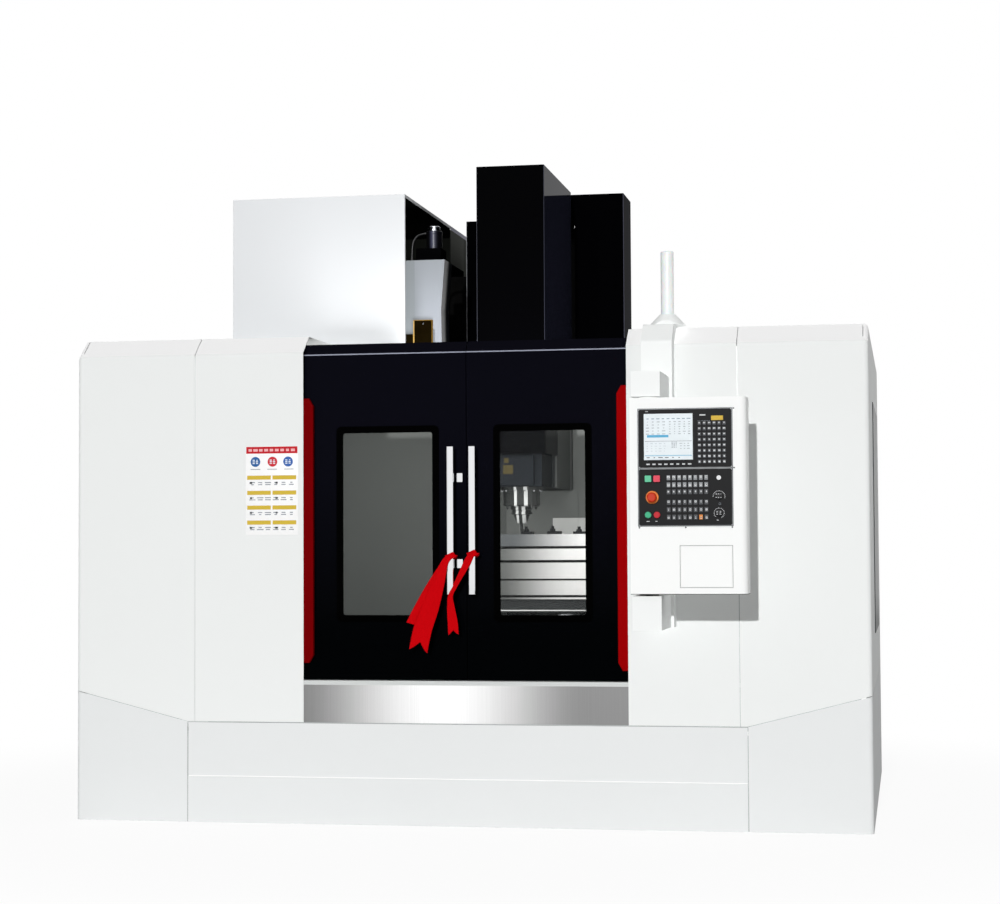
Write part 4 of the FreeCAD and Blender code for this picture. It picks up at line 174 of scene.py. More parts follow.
# ------------------------------------------------------- floor, sky and lamps
# A pale paper floor that runs out into a white surround, one far lamp in front of
# the machine, an overcast glow, stronger from above and from the operator's right,
# and the work light that hangs behind the doors at the front of the chamber.
sky = bpy.data.worlds.new("white_surround")
bpy.context.scene.world = sky
sky.use_nodes = True
tree = sky.node_tree
ray = add(tree, "ShaderNodeLightPath")
seen = add(tree, "ShaderNodeMath", {0: ray.outputs["Is Camera Ray"], 1: ray.outputs["Is Glossy Ray"]},
           operation="MAXIMUM")
seen = add(tree, "ShaderNodeMath", {0: seen.outputs[0], 1: ray.outputs["Is Transmission Ray"]},
           operation="MAXIMUM")
direction = add(tree, "ShaderNodeSeparateXYZ", {0: add(tree, "ShaderNodeTexCoord").outputs["Generated"]})
glow = add(tree, "ShaderNodeMapRange", {"Value": direction.outputs["Z"], "From Min": 0.4, "From Max": 1.0,
                                        "To Min": 0.07, "To Max": 0.4})
flank = add(tree, "ShaderNodeMapRange", {"Value": direction.outputs["X"], "From Min": 0.5, "From Max": 1.0,
                                         "To Min": 0.0, "To Max": 0.58})
glow = add(tree, "ShaderNodeMath", {0: glow.outputs[0], 1: flank.outputs[0]}, operation="ADD")
strength = add(tree, "ShaderNodeMix", {0: seen.outputs[0], 2: glow.outputs[0], 3: 1.0})
background = tree.nodes["Background"]
background.inputs["Color"].default_value = (1, 1, 1, 1)
tree.links.new(strength.outputs[0], background.inputs["Strength"])

floor = placed("floor", bpy.data.meshes.new("floor"))
reach = 30.0
corners = [(-reach, -reach, 0), (reach, -reach, 0), (reach, reach, 0), (-reach, reach, 0)]
floor.data.from_pydata(corners, [], [(0, 1, 2, 3)])
paper, tree, matte = blank("studio_floor", Base_Color=srgb("#E8E8E8"), Roughness=1.0, Specular_IOR_Level=0.0)
place = add(tree, "ShaderNodeTexCoord").outputs["Object"]
away = add(tree, "ShaderNodeVectorMath", {0: place}, operation="LENGTH")
fade = add(tree, "ShaderNodeMapRange", {"Value": away.outputs["Value"], "From Min": 2.2, "From Max": 4.5,
                                        "To Min": 0.94, "To Max": 1.0}, interpolation_type="SMOOTHSTEP")
ray = add(tree, "ShaderNodeLightPath")
lifted = add(tree, "ShaderNodeMath", {0: ray.outputs["Is Camera Ray"], 1: fade.outputs[0]},
             operation="MULTIPLY")
white = add(tree, "ShaderNodeEmission", {"Color": (1, 1, 1, 1), "Strength": 1.0})
mixed = add(tree, "ShaderNodeMixShader", {0: lifted.outputs[0], 1: matte.outputs[0], 2: white.outputs[0]})
tree.links.new(mixed.outputs[0], tree.nodes["Material Output"].inputs["Surface"])
floor.data.materials.append(paper)


def aimed(x, y, z):
    # the turn of a lamp that shines from the direction x, y, z
    return Vector((x, y, z)).to_track_quat("Z", "Y").to_matrix().to_4x4()


key = placed("front_lamp", bpy.data.lights.new("front_lamp", "SUN"))
key.data.energy = 2.24
key.data.angle = math.radians(1.0)
key.matrix_world = aimed(-0.024, -1, 0.26)
# The lamp passes the arms and the magazine's cover, so only the glow shades what
# lies behind them.
spared = bpy.data.collections.new("casts_no_lamp_shadow")
for name in ("pendant_arm", "magazine_cover"):
    spared.objects.link(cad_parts[name])
for member in spared.collection_objects:
    member.light_linking.link_state = "EXCLUDE"
key.light_linking.blocker_collection = spared
inner = placed("chamber_light", bpy.data.lights.new("chamber_light", "AREA"))
inner.data.shape = "RECTANGLE"
inner.data.size = 1.3
inner.data.size_y = 1.0
inner.data.energy = 30.0
inner.visible_glossy = False
inner.matrix_world = Matrix.Translation(at(60, 95, 1400)) @ aimed(0, -1, 0)


# ------------------------------------------------------ white enclosure sheet
# Powder-coated steel sheet, 2.5 mm thick, bent and screwed to the frame from
# behind. The baked powder has a fine orange peel and a soft satin sheen.
def dress(material, *names):
    # a finish put on nodes as they are
    for name in names:
        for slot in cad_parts[name].material_slots:
            slot.material = material


def powder_coat(name, colour, patches=(), **own):
    baked = {"cloud": 0.006, "grain_mm": 6, "grain_height": 0.015, "Roughness": 0.5,
             "Specular_IOR_Level": 0.15}
    return surface("powder_coat_" + name, colour, patches=patches, **{**baked, **own})


# The leaning strip along the top is painted pure white, a painted highlight.
powder = powder_coat("white", "#EDEFEE", ((at(-1800, -10, 2064), at(1800, 200, 2160), "#FFFFFF"),))
dress(powder, "front_panels", "side_panels", "roof_panels", "electrical_cabinet", "cabinet_door")
# The base covers carry painted shade as dark lines where they meet the panels and the
#  corner posts, and a painted highlight as a white line along their toe fold.
seam_shade = "#3A3C3B"
base_powder = powder_coat("base", "#E6E8E8", ((at(-1231, -10, 438.5), at(1231, 60, 443), seam_shade),
                                              (at(-1233, -10, 0), at(-1229.5, 60, 441), seam_shade),
                                              (at(1229.5, -10, 0), at(1233, 60, 441), seam_shade),
                                              (at(-1228, -10, 202), at(1228, 60, 206), "#FFFFFF")))
dress(base_powder, "base_covers")
dress(powder_coat("post", "#F6F8F7"), "pendant_arm")

# ------------------------------------------------------------- frame tubes
# Square steel tube, welded and galvanised, that carries the panels. It shows through
#  the gaps between them, and at the posts beside the corner panels it is painted paler, as painted light that
#  lifts the shade in those seams.
seam_light_paint = "#C4C6C6"
galvanised = surface("galvanised_tube", "#A8ACAC", cloud=0.05, cloud_mm=60, grain_mm=4, Metallic=0.6,
                     Roughness=0.5, patches=((at(-1260, -10, 430), at(-1140, 90, 2200), seam_light_paint),
                                             (at(1140, -10, 1750), at(1260, 90, 2200), seam_light_paint)))
dress(galvanised, "frame_tubes")

# ------------------------------------------------------- tinted side windows
# Smoked polycarbonate sheet, bonded over the openings in the side panels. It is so
# dark that hardly anything of the inside shows through.
smoked = surface("smoked_polycarbonate", "#606364", cloud=0.01, grain_mm=200, grain_height=0.0,
                 Roughness=0.3, Specular_IOR_Level=0.05, Alpha=0.95)
dress(smoked, "side_windows")

# --------------------------------------------------------- sliding door leaves
# Folded steel sheet in stoved gloss black, almost a mirror in a dark room.
def stoved_enamel(name, colour, coat, coat_roughness, **own):
    # the clear coat has a low IOR, so that only a glancing look makes it a mirror
    return surface("stoved_enamel_" + name, colour, cloud=0.06, cloud_mm=900, grain_mm=30, grain_height=0.01,
                   Roughness=0.3, Specular_IOR_Level=0.0, Coat_Weight=coat, Coat_IOR=1.1,
                   Coat_Roughness=coat_roughness, **own)


crease_z, crease_half = 2053, 2.5
# The enamel is painted darker towards the bottom as painted shade; a painted highlight runs along the fold at
# the top, and the inner flanges are painted near black as painted shade.
enamel = stoved_enamel("black", "#0A0A12", 0.3, 0.05, fades=((2, 1.7, 0.75, "#020304"),), patches=(
    (at(-2000, -5, crease_z - crease_half), at(2000, 34, crease_z + crease_half), "#9FA3B4"),
    (at(-2000, 20, 500), at(2000, 29.5, 2200), "#010101")))
dress(enamel, "left_door_leaf", "right_door_leaf")
# The leaves run on rails of painted flat steel.
rail_steel = surface("painted_rail", "#C9CCCB", cloud=0.02, Roughness=0.5)
dress(rail_steel, "door_rails")

# ------------------------------------------------------------- door panes
# Laminated safety glass with a grey tint, set in the leaf behind its bezel. It
# keeps the lamp's light out of the chamber, which has a work light of its own.
tinted = surface("grey_safety_glass", "#2A2D2D", cloud=0.0, grain_mm=300, grain_height=0.0, Roughness=0.02,
                 Specular_IOR_Level=0.2, Alpha=0.22)
tinted.use_transparent_shadow = False
dress(tinted, "left_door_glass", "right_door_glass")

# ------------------------------------------------------------- pull handles
# Steel bar, chrome-plated and polished, on two feet screwed to the leaf. It mirrors
# the bright surround. The key switch's barrel is plated in the same way.
chrome = surface("polished_chrome", "#E9EAEC", cloud=0.01, grain_mm=80, grain_height=0.004, Metallic=1.0,
                 Roughness=0.08)
dress(chrome, "left_door_handle", "right_door_handle", "key_switch")

# ------------------------------------------------------------- jamb trims
# Rounded strips, sprayed in signal red with a gloss lacquer, down both sides of the
#  doorway. The right one is painted lighter, as painted light, since it stands more in the light.
red_gloss = surface("sprayed_signal_red", "#740206", fades=((0, -0.3, 0.3, "#980306"),), cloud=0.04,
                    cloud_mm=400, grain_mm=8, grain_height=0.01, Roughness=0.3, Specular_IOR_Level=0.0,
                    Coat_Weight=0.2, Coat_IOR=1.1, Coat_Roughness=0.1)
dress(red_gloss, "jamb_trims")


# ------------------------------------------------------------- sill plate
# Stainless sheet, brushed upright. Its colour carries a painted highlight, brightest
#  a little left of the middle.
def brushed(name, dark, bright, middle, width, shade_gaps=(), streak_mm=1.5, **shine):
    # stainless or ground steel: its tone is a painted highlight that runs from dark to
    #  bright around a middle, both in mm; the strokes are drawn streak_mm apart, coarser than real, and
    #  each gap is a band between two heights painted a colour of its own, as painted shade
    material, tree, shader = blank(name, **{"Metallic": 0.35, "Roughness": 0.4, **shine})
    place = add(tree, "ShaderNodeTexCoord").outputs["Object"]
    part = add(tree, "ShaderNodeSeparateXYZ", {0: place})
    off = add(tree, "ShaderNodeMath", {0: part.outputs["X"], 1: middle / 1000}, operation="SUBTRACT")
    off = add(tree, "ShaderNodeMath", {0: off.outputs[0]}, operation="ABSOLUTE")
    near = add(tree, "ShaderNodeMapRange", {"Value": off.outputs[0], "From Min": 0.0,
                                            "From Max": width / 1000, "To Min": 1.0, "To Max": 0.0},
               interpolation_type="SMOOTHSTEP")
    upright = (1000 / streak_mm, 1000 / streak_mm, 2.0)
    lines = add(tree, "ShaderNodeVectorMath", {0: place, 1: upright}, operation="MULTIPLY")
    strokes = add(tree, "ShaderNodeTexNoise", {"Vector": lines.outputs[0], "Scale": 1.0, "Detail": 3.0})
    tone = add(tree, "ShaderNodeMix", {0: near.outputs[0], 6: srgb(dark), 7: srgb(bright)}, data_type="RGBA")
    for low, high, other in shade_gaps:
        stripe = inside(tree, at(-3000, -500, low), at(3000, 3000, high))
        tone = add(tree, "ShaderNodeMix", {0: stripe, 6: tone.outputs[2], 7: srgb(other)}, data_type="RGBA")
    value = add(tree, "ShaderNodeMapRange", {"Value": strokes.outputs[0], "From Min": 0.3, "From Max": 0.7,
                                             "To Min": 0.93, "To Max": 1.05})
    stroked = add(tree, "ShaderNodeHueSaturation", {"Color": tone.outputs[2], "Value": value.outputs[0]})
    tree.links.new(stroked.outputs[0], shader.inputs["Base Color"])
    bump = add(tree, "ShaderNodeBump", {"Height": strokes.outputs[0], "Distance": 0.00003, "Strength": 1.0})
    tree.links.new(bump.outputs[0], shader.inputs["Normal"])
    return material


# The sill's painted highlight, grey at both ends.
sill = brushed("brushed_stainless_sill", "#747474", "#E4E4E4", -95, 640)
dress(sill, "sill_plate")

# --------------------------------------------------------- chamber lining
# Pans and rear wall of the work chamber, folded from steel sheet and painted grey,
#  dulled by coolant. Towards the operator's right the grey is painted lighter, as painted light, and a pool
#  of light is painted on the wall beside the head.
light_pool_paint = "#F4F6F2"
lining = surface("chamber_paint_grey", "#696C69", fades=((0, 0.1, 0.25, "#848784"),),
                 patches=((at(173, 1400, 1262), at(345, 1500, 1345), light_pool_paint),), cloud=0.04, cloud_mm=500,
                 grain_mm=7, Roughness=0.5, Specular_IOR_Level=0.2)
dress(lining, "chamber_linings")

# ------------------------------------------------- table and saddle guard
# The table is ground cast iron; the stepped guard below it is brushed stainless.
#  Both carry a painted highlight towards the operator's right, and painted shade in the gaps where they
#  overlap.
gap_shade = "#0A0A0A"
ground = brushed("ground_iron", "#36393A", "#BCBCBA", 640, 520, ((1194, 1206, gap_shade),), 3, Metallic=0.0)
dress(ground, "table")
guard = brushed("brushed_stainless_guard", "#3A3C3A", "#A6A6A4", 480, 420,
                ((1194, 1206, gap_shade), (1131, 1143, gap_shade), (1050, 1058, gap_shade), (973, 984, gap_shade)), 2, Metallic=0.0)
dress(guard, "saddle_guard")

# --------------------------------------------- rails, screws, feet and clamps
# Ground steel left bright on the rails, the saddle's screw, the changer's arm and the
# feet; tool steel with a dark film of oil on the table's clamps and the head's screw.
bright_iron = surface("ground_steel", "#C4C7C9", cloud=0.05, cloud_mm=90, grain_mm=3, Metallic=0.6,
                      Roughness=0.25)
oiled_steel = surface("oiled_tool_steel", "#1A1B1C", cloud=0.1, cloud_mm=20, grain_mm=2, Metallic=0.2,
                      Roughness=0.35)
dress(oiled_steel, "table_fittings", "z_screw")
dress(bright_iron, "guide_rails", "changer_arm", "levelling_feet", "y_screw")

# ------------------------------------------------------------- spindle
# Turned tool steel, hardened and polished, in a cartridge bolted into the nose. Its
#  colour is a painted reflection of the dark chamber, lighter towards the right, with three upright painted
#  streaks of light.
painted_streak = "#B4B6B4"
polished = surface("polished_tool_steel", "#101111",
                   fades=((0, 0.033, 0.07, "#2B2D2C"), (0, 0.15, 0.18, "#383938")),
                   patches=((at(99, 700, 1200), at(112, 1000, 1500), painted_streak),
                            (at(145, 700, 1393), at(162, 1000, 1500), painted_streak),
                            (at(128, 700, 1200), at(144, 1000, 1392), painted_streak)),
                   cloud=0.03, cloud_mm=60, grain_mm=40, grain_height=0.002, Roughness=0.3,
                   Specular_IOR_Level=0.4)
dress(polished, "spindle", "spindle_cartridge")

# ------------------------------------------------- bed, column and headstock
# Grey iron castings, filled and painted; the paint follows the sand's grain. Above
# the roof the column is sprayed black like the covers around it.
def cast_paint(name, colour, roughness, **own):
    return surface(name, colour, cloud=0.06, cloud_mm=150, grain_mm=9, grain_height=0.25,
                   Roughness=roughness, **own)


dress(cast_paint("painted_casting", "#8E9290", 0.6), "bed")
# The saddle, in the shade under the table, is painted dark as painted shade, with a painted highlight line
# low along its front.
saddle_shade_casting = cast_paint("saddle_shade_casting", "#232525", 0.5, Specular_IOR_Level=0.1,
                           patches=((at(-600, 500, 911.5), at(1900, 560, 916.5), "#A8A8A6"),))
dress(saddle_shade_casting, "saddle")
# The headstock's apron at the back is painted lighter, as painted light like the chamber's right wall, and
# the painted pool of light beside the head lies on the column too.
dark_casting = cast_paint("painted_casting_upper", "#272A2B", 0.6, Specular_IOR_Level=0.1,
                          fades=((1, at(0, 1370, 0).y, at(0, 1376, 0).y, "#848784"),
                                 (2, 2.02, 2.1, "#050506")),
                          patches=((at(173, 1425, 1262), at(345, 1500, 1345), light_pool_paint),
                                   (at(262, 935, 1300), at(280, 1380, 2100), "#5A5C5A")))
dress(dark_casting, "column", "headstock")

# ------------------------------------------------------- covers of the head
# Tall folded covers in the doors' black enamel. Sides that face the operator's
#  right are painted lighter, as painted light from the room, and the folds carry painted highlight lines.
def folded_cover(name, node, coat, side, left_fold, left_reach, right_fold):
    # side is the colour of the painted light on the right side, and the fold colours are those of the painted
    # highlights on the folds
    low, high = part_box(node)
    skin, hair, foot, top = 0.001, 0.0022, 2.0, 4.0
    dress(stoved_enamel(name, "#020203", coat, 0.06, Coat_Tint=(0.86, 0.87, 1, 1), patches=(
        (Vector((high.x - skin, low.y - 0.1, 2.1)), Vector((high.x + skin, high.y + 0.1, top)), side),
        (Vector((low.x - hair, low.y - 1, foot)),
         Vector((low.x + hair, low.y + left_reach, top)), left_fold),
        (Vector((high.x - hair, low.y - 1, foot)),
         Vector((high.x + 2 * hair, low.y + 2 * hair, top)), right_fold))), node)


folded_cover("cover", "head_cover", 0.45, "#1E1F28", "#6E7078", 0.0022, "#3C3E48")
folded_cover("rear_cover", "column_covers", 0.07, "#15151C", "#8A8C90", 0.01, "#4A4B58")


def block(mesh, low, high, edge):
    # box with its edges broken by edge mm
    made = bmesh.ops.create_cube(mesh, size=1.0)["verts"]
    for vertex in made:
        vertex.co = Vector(((low.x + high.x) / 2 + vertex.co.x * (high.x - low.x),
                            (low.y + high.y) / 2 + vertex.co.y * (high.y - low.y),
                            (low.z + high.z) / 2 + vertex.co.z * (high.z - low.z)))
    edges = list({e for v in made for e in v.link_edges})
    bmesh.ops.bevel(mesh, geom=edges, offset=edge / 1000, segments=2, affect="EDGES", profile=0.5)


def finished(name, mesh, material, body):
    # the mesh as a piece that rides on a body, its faces turned outwards and its
    # edges of more than 35 degrees left sharp
    bmesh.ops.recalc_face_normals(mesh, faces=mesh.faces[:])
    data = bpy.data.meshes.new(name)
    mesh.to_mesh(data)
    mesh.free()
    for polygon in data.polygons:
        polygon.use_smooth = True
    data.set_sharp_from_angle(angle=math.radians(35))
    data.materials.append(material)
    piece = placed(name, data)
    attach(piece, body)
    return piece


# A black strip closes the slot beside the column's top, put there as painted shade of the slot.
slot_shade_black = surface("slot_shade_black_strip", "#030303", cloud=0.05, cloud_mm=30, grain_mm=2, grain_height=0.03,
                   Roughness=0.8, Specular_IOR_Level=0.0)
strip = bmesh.new()
block(strip, at(266, 1478, 2740), at(283.9, 1484, 2846), 1)
finished("column_slot_strip", strip, slot_shade_black, machine)
# The nose cover, below the doors' top, is in dark hammer-finish paint.
nose = surface("hammer_grey", "#15181B", cloud=0.03, cloud_mm=120, grain_mm=6, Roughness=0.5,
               Specular_IOR_Level=0.1)
dress(nose, "nose_cover")

# ------------------------------------------------------------- motors
# Cast housings with a baked black enamel: the two servo motors on their brackets and
# the spindle's motor on the headstock.
def motor_enamel(name, colour, roughness, specular, **own):
    return surface(name, colour, cloud=0.05, cloud_mm=80, grain_mm=5, Roughness=roughness,
                   Specular_IOR_Level=specular, **own)


dress(motor_enamel("motor_enamel", "#15151A", 0.35, 0.3), "servo_motors", "spindle_motor")

# --------------------------------------------------- magazine and its cover
# The cover is the enclosure's white sheet outside, with a bare white lip round its
#  open side; inside it is painted dark, as painted shade. Behind it turns a disc with pots of moulded nylon.
mag_low, mag_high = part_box("magazine_cover")
skin = Vector((0.0018, 0.0018, 0.0018))
lip_x, rear_panel = mag_high.x - 0.004, at(0, 1742, 0).y
# Painted shade: the inside, and the rear of the open side in darker and lighter greys; a paler band runs
# along that rear part's top.
mag_paint = powder_coat("magazine", "#E2E4E6", cloud=0.004, Specular_IOR_Level=0.0, patches=(
    (mag_low + skin, mag_high - skin, "#10110F"),
    (Vector((lip_x, rear_panel, 2)), mag_high + skin, "#070807"),
    (Vector((lip_x, rear_panel, 2.67)), mag_high + skin, "#6A6C68"),
    (at(-412, 1738, 2000), at(-404, 1744, 2844), "#1C1D1B"),
    (at(-409, 2080, 2000), mag_high + skin, "#5A5C58"),
    (at(-409, 1745, 2846), mag_high + skin, "#C8C8D6")))
dress(mag_paint, "magazine_cover")
pots = surface("moulded_nylon", "#1A1B1C", cloud=0.05, cloud_mm=40, grain_mm=2, Roughness=0.45,
               Specular_IOR_Level=0.2)
dress(pots, "magazine_wheel")

# ------------------------------------------------- cam box and its bracket
# The cam box is a casting in silver enamel. Its colour is painted with light and
#  shade: darker at its left end and at the top, and on its side pale at the front edge and dark where it
#      stands back under the cover. Its bracket is folded steel, zinc-plated and passivated yellow; its face
#      is painted dark as a painted reflection, and its edges and flanges carry painted highlights.
cam_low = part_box("cam_box")[0]
silver = surface("silver_enamel", "#7F8589", cloud=0.03, cloud_mm=300, grain_mm=4, Metallic=0.0,
                 Roughness=0.45, Specular_IOR_Level=0.2,
                 fades=((0, cam_low.x, cam_low.x + 0.11, "#A4A9B1"), (2, 2.3, 2.6, "#969BA1"),
                        (1, cam_low.y + 0.001, cam_low.y + 0.004, "#FFFFFF"),
                        (1, cam_low.y + 0.05, cam_low.y + 0.12, "#202226")),
                 patches=((cam_low - skin, at(-404, 903, 2600), "#8B9195"),))
dress(silver, "cam_box")
foot, top, edge_highlight = 2050, 2292, "#8E6D2C"
zinc = surface("zinc_passivated", "#0A0A0A", cloud=0.15, cloud_mm=40, grain_mm=4, Roughness=0.6,
               Specular_IOR_Level=0.0,
               patches=((at(-455, 880, foot), at(-312, 902, top), "#150F04"),
                        (at(-409, 880, foot), at(-403, 902, top), "#C9A35A"),
                        (at(-318, 880, foot), at(-312, 902, top), edge_highlight),
                        (at(-409, 880, top - 6), at(-312, 902, top), edge_highlight),
                        (at(-452, 880, foot), at(-449, 902, 2226), "#B08A48")))
dress(zinc, "magazine_carrier")

# --------------------------------------------------- motor of the tool changer
# Geared motor in black enamel on top of the cam box: a square gear housing, a
# turned body with its flanges, and a turned aluminium cap with a ring round its foot.
def lathe(name, profile, middle, axis, material, body, steps=48):
    # turned piece: profile is (radius, distance along the axis), closed at both ends
    mesh = bmesh.new()
    spin = Vector((0, 0, 1)).rotation_difference(Vector(axis)).to_matrix()
    rings = []
    for radius, reach in profile:
        ring = []
        for i in range(steps):
            a = 2 * math.pi * i / steps
            offset = spin @ Vector((radius * math.cos(a), radius * math.sin(a), reach))
            ring.append(mesh.verts.new(middle + offset / 1000))
        rings.append(ring)
    for near, far in zip(rings, rings[1:]):
        for i in range(steps):
            mesh.faces.new((near[i], near[(i + 1) % steps], far[(i + 1) % steps], far[i]))
    mesh.faces.new(rings[0][::-1])
    mesh.faces.new(rings[-1])
    return finished(name, mesh, material, body)


housing = bmesh.new()
block(housing, at(-406, 935, 2578), at(-282, 1060, 2640), 4)
deep_enamel = motor_enamel("motor_enamel_deep", "#050506", 0.5, 0.0)
gear_housing = finished("changer_gear_housing", housing, deep_enamel, machine)
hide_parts("changer_motor")
motor_x, motor_y, upright = -325, 985, (0, 0, 1)
# The turned body carries a bluish painted highlight down its front, between dark sides.
dark_x, bright_x, right_x = (at(x, 0, 0).x for x in (-345, -328, -300))
streaked_enamel = motor_enamel("motor_enamel_painted_streak", "#08080A", 0.3, 0.3, fades=((0, dark_x, bright_x, "#3A3C50"),
                                                                          (0, bright_x, right_x, "#0A0A0E")))
body_of_motor = lathe("changer_motor_body",
                      ((42, 0), (42, 7), (38, 9), (38, 92), (40, 94), (40, 106), (36, 108)),
                      at(motor_x, motor_y, 2618), upright, streaked_enamel, machine)
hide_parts("changer_motor")
plating = surface("turned_aluminium", "#C9CCD2", cloud=0.03, cloud_mm=20, grain_mm=2, Metallic=1.0,
                  Roughness=0.22)
cap_of_motor = lathe("changer_motor_cap",
                     ((34, 0), (34, 4), (29, 5), (29, 11), (26, 12), (26, 15), (30, 16), (30, 21), (27, 23)),
                     at(motor_x, motor_y, 2726), upright, plating, machine)
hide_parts("changer_motor")

# ------------------------------------------------------------- pendant
# Housing of folded sheet in the same white powder, hung between the two arms, with a
#  flap below the panels. A thin line round the flap, its bottom fold and its upper seam are painted dark, as
#  painted shade; a bright steel frame, blackened by handling, edges the panels.
dress(powder_coat("pendant", "#FCFDFC", cloud=0.003, grain_mm=5, patches=(
    (at(999.6, -500, 1034.6), at(1213.4, -400, 1205.4), "#8D908D"),
    (at(1001.4, -500, 1036.4), at(1211.6, -400, 1203.6), "#FCFDFC"),
    (at(790, -500, 1000), at(1290, -300, 1010.5), "#3A3D3A"),
    (at(818, -500, 1805.5), at(946, -440, 1811), "#2A2C2A"))), "pendant_box", "pendant_flap")
steel_edge = surface("blackened_edge_steel", "#5E6163", cloud=0.2, cloud_mm=60, grain_mm=3, Metallic=0.2,
                     Roughness=0.4)
dress(steel_edge, "panel_frame")

# ------------------------------------------------------------- beacon
# A tube of milky acrylic on a cone, screwed to the pendant's post. The light inside
# is off.
milky = surface("milky_acrylic", "#F6F9F8", cloud=0.01, cloud_mm=50, grain_mm=20, Roughness=0.25,
                Subsurface_Weight=0.3)
dress(milky, "beacon")

# --------------------------------------------- screen unit and operator panel
# The screen unit is moulded dark ABS round a pale display, with typing keys at its
# right and a row of soft keys below. The operator panel is printed film over dark
# sheet, and its keys have pale faces. Both are screwed into the pendant's front.
panel_face = -476


def field(x0, x1, z0, z1, colour, near=-2.6, far=-0.4):
    # a coloured place on the pendant's face, between two depths off the panel
    return at(x0, panel_face + near, z0), at(x1, panel_face + far, z1), colour


def matt_plastic(name, colour, *places):
    return surface(name, colour, cloud=0.03, cloud_mm=60, grain_mm=2, grain_height=0.03, Roughness=0.5,
                   Specular_IOR_Level=0.12, patches=places)


dress(matt_plastic("moulded_abs_dark", "#0A0A0C",
                   field(858, 1056, 1551, 1738, "#EDF5F9", 0.6, 3.2),
                   field(1076, 1190, 1535, 1705, "#4A4C50"),
                   field(865, 1053, 1528, 1539, "#2A2B2E")), "screen_unit")
dress(matt_plastic("printed_film_black", "#0B0C0E",
                   field(949, 1117, 1440, 1489, "#8F9295"),
                   field(949, 1117, 1411, 1433, "#55575A"),
                   field(949, 1117, 1309, 1390, "#55575A"),
                   field(1078, 1094, 1309, 1330, "#E2924E"),
                   field(864, 918, 1373, 1427, "#F08B45", -12, -0.2)), "operator_panel")

# --------------------------------------------------- buttons, dials and switch
# Moulded nylon and ABS, coloured through, pushed into their holes in the operator
# panel; the main switch sits in the cabinet's door at the back.
for name, colour in (("square_green_button", "#62C79C"), ("square_red_button", "#E0475B"),
                     ("round_green_button", "#3FB183"), ("round_red_button", "#C2202C"),
                     ("stop_button", "#C73312"), ("feed_dial", "#141416"), ("speed_dial", "#141416"),
                     ("main_switch", "#B0141E")):
    dress(surface("moulded_" + name, colour, cloud=0.03, cloud_mm=8, grain_mm=1, Roughness=0.35,
                  Specular_IOR_Level=0.15), name)


# ------------------------------------------------ prints on the pendant's face
# Silk-screened marks, drawn 0.3 mm thick, thicker than real: legends on the keys as
# short bars, lines on the display, ticks round the dials. They say nothing.
def mark_field():
    # rows and columns of small bars on a plane that faces the operator
    tree = bpy.data.node_groups.new("printed_bars", "GeometryNodeTree")
    for name, kind in (("middle", "Vector"), ("bar", "Vector"), ("columns", "Int"), ("rows", "Int"),
                       ("across", "Float"), ("up", "Float"), ("shortest", "Float"), ("seed", "Int"),
                       ("finish", "Material")):
        tree.interface.new_socket(name, in_out="INPUT", socket_type="NodeSocket" + kind)
    tree.interface.new_socket("marks", in_out="OUTPUT", socket_type="NodeSocketGeometry")
    given = add(tree, "NodeGroupInput").outputs
    index = add(tree, "GeometryNodeInputIndex").outputs[0]
    column = add(tree, "ShaderNodeMath", {0: index, 1: given["columns"]}, operation="MODULO")
    row = add(tree, "ShaderNodeMath", {0: index, 1: given["columns"]}, operation="DIVIDE")
    row = add(tree, "ShaderNodeMath", {0: row.outputs[0]}, operation="FLOOR")
    place = []
    for step, count, pitch in ((column, "columns", "across"), (row, "rows", "up")):
        half = add(tree, "ShaderNodeMath", {0: given[count], 1: 1.0}, operation="SUBTRACT")
        half = add(tree, "ShaderNodeMath", {0: half.outputs[0], 1: 0.5}, operation="MULTIPLY")
        offset = add(tree, "ShaderNodeMath", {0: step.outputs[0], 1: half.outputs[0]}, operation="SUBTRACT")
        place.append(add(tree, "ShaderNodeMath", {0: offset.outputs[0], 1: given[pitch]},
                         operation="MULTIPLY"))
    spot = add(tree, "ShaderNodeCombineXYZ", {0: place[0].outputs[0], 2: place[1].outputs[0]})
    spot = add(tree, "ShaderNodeVectorMath", {0: spot.outputs[0], 1: given["middle"]}, operation="ADD")
    count = add(tree, "ShaderNodeMath", {0: given["columns"], 1: given["rows"]}, operation="MULTIPLY")
    points = add(tree, "GeometryNodePoints", {"Count": count.outputs[0], "Position": spot.outputs[0]})
    length = add(tree, "FunctionNodeRandomValue", {2: given["shortest"], 3: 1.0, 8: given["seed"]},
                 data_type="FLOAT")
    size = add(tree, "ShaderNodeCombineXYZ", {0: length.outputs[1], 1: 1.0, 2: 1.0})
    bar = add(tree, "GeometryNodeMeshCube", {"Size": given["bar"]})
    spread = add(tree, "GeometryNodeInstanceOnPoints", {"Points": points.outputs[0],
                                                        "Instance": bar.outputs[0], "Scale": size.outputs[0]})
    real = add(tree, "GeometryNodeRealizeInstances", {0: spread.outputs[0]})
    done = add(tree, "GeometryNodeSetMaterial", {0: real.outputs[0], "Material": given["finish"]})
    add(tree, "NodeGroupOutput", {0: done.outputs[0]})
    return tree


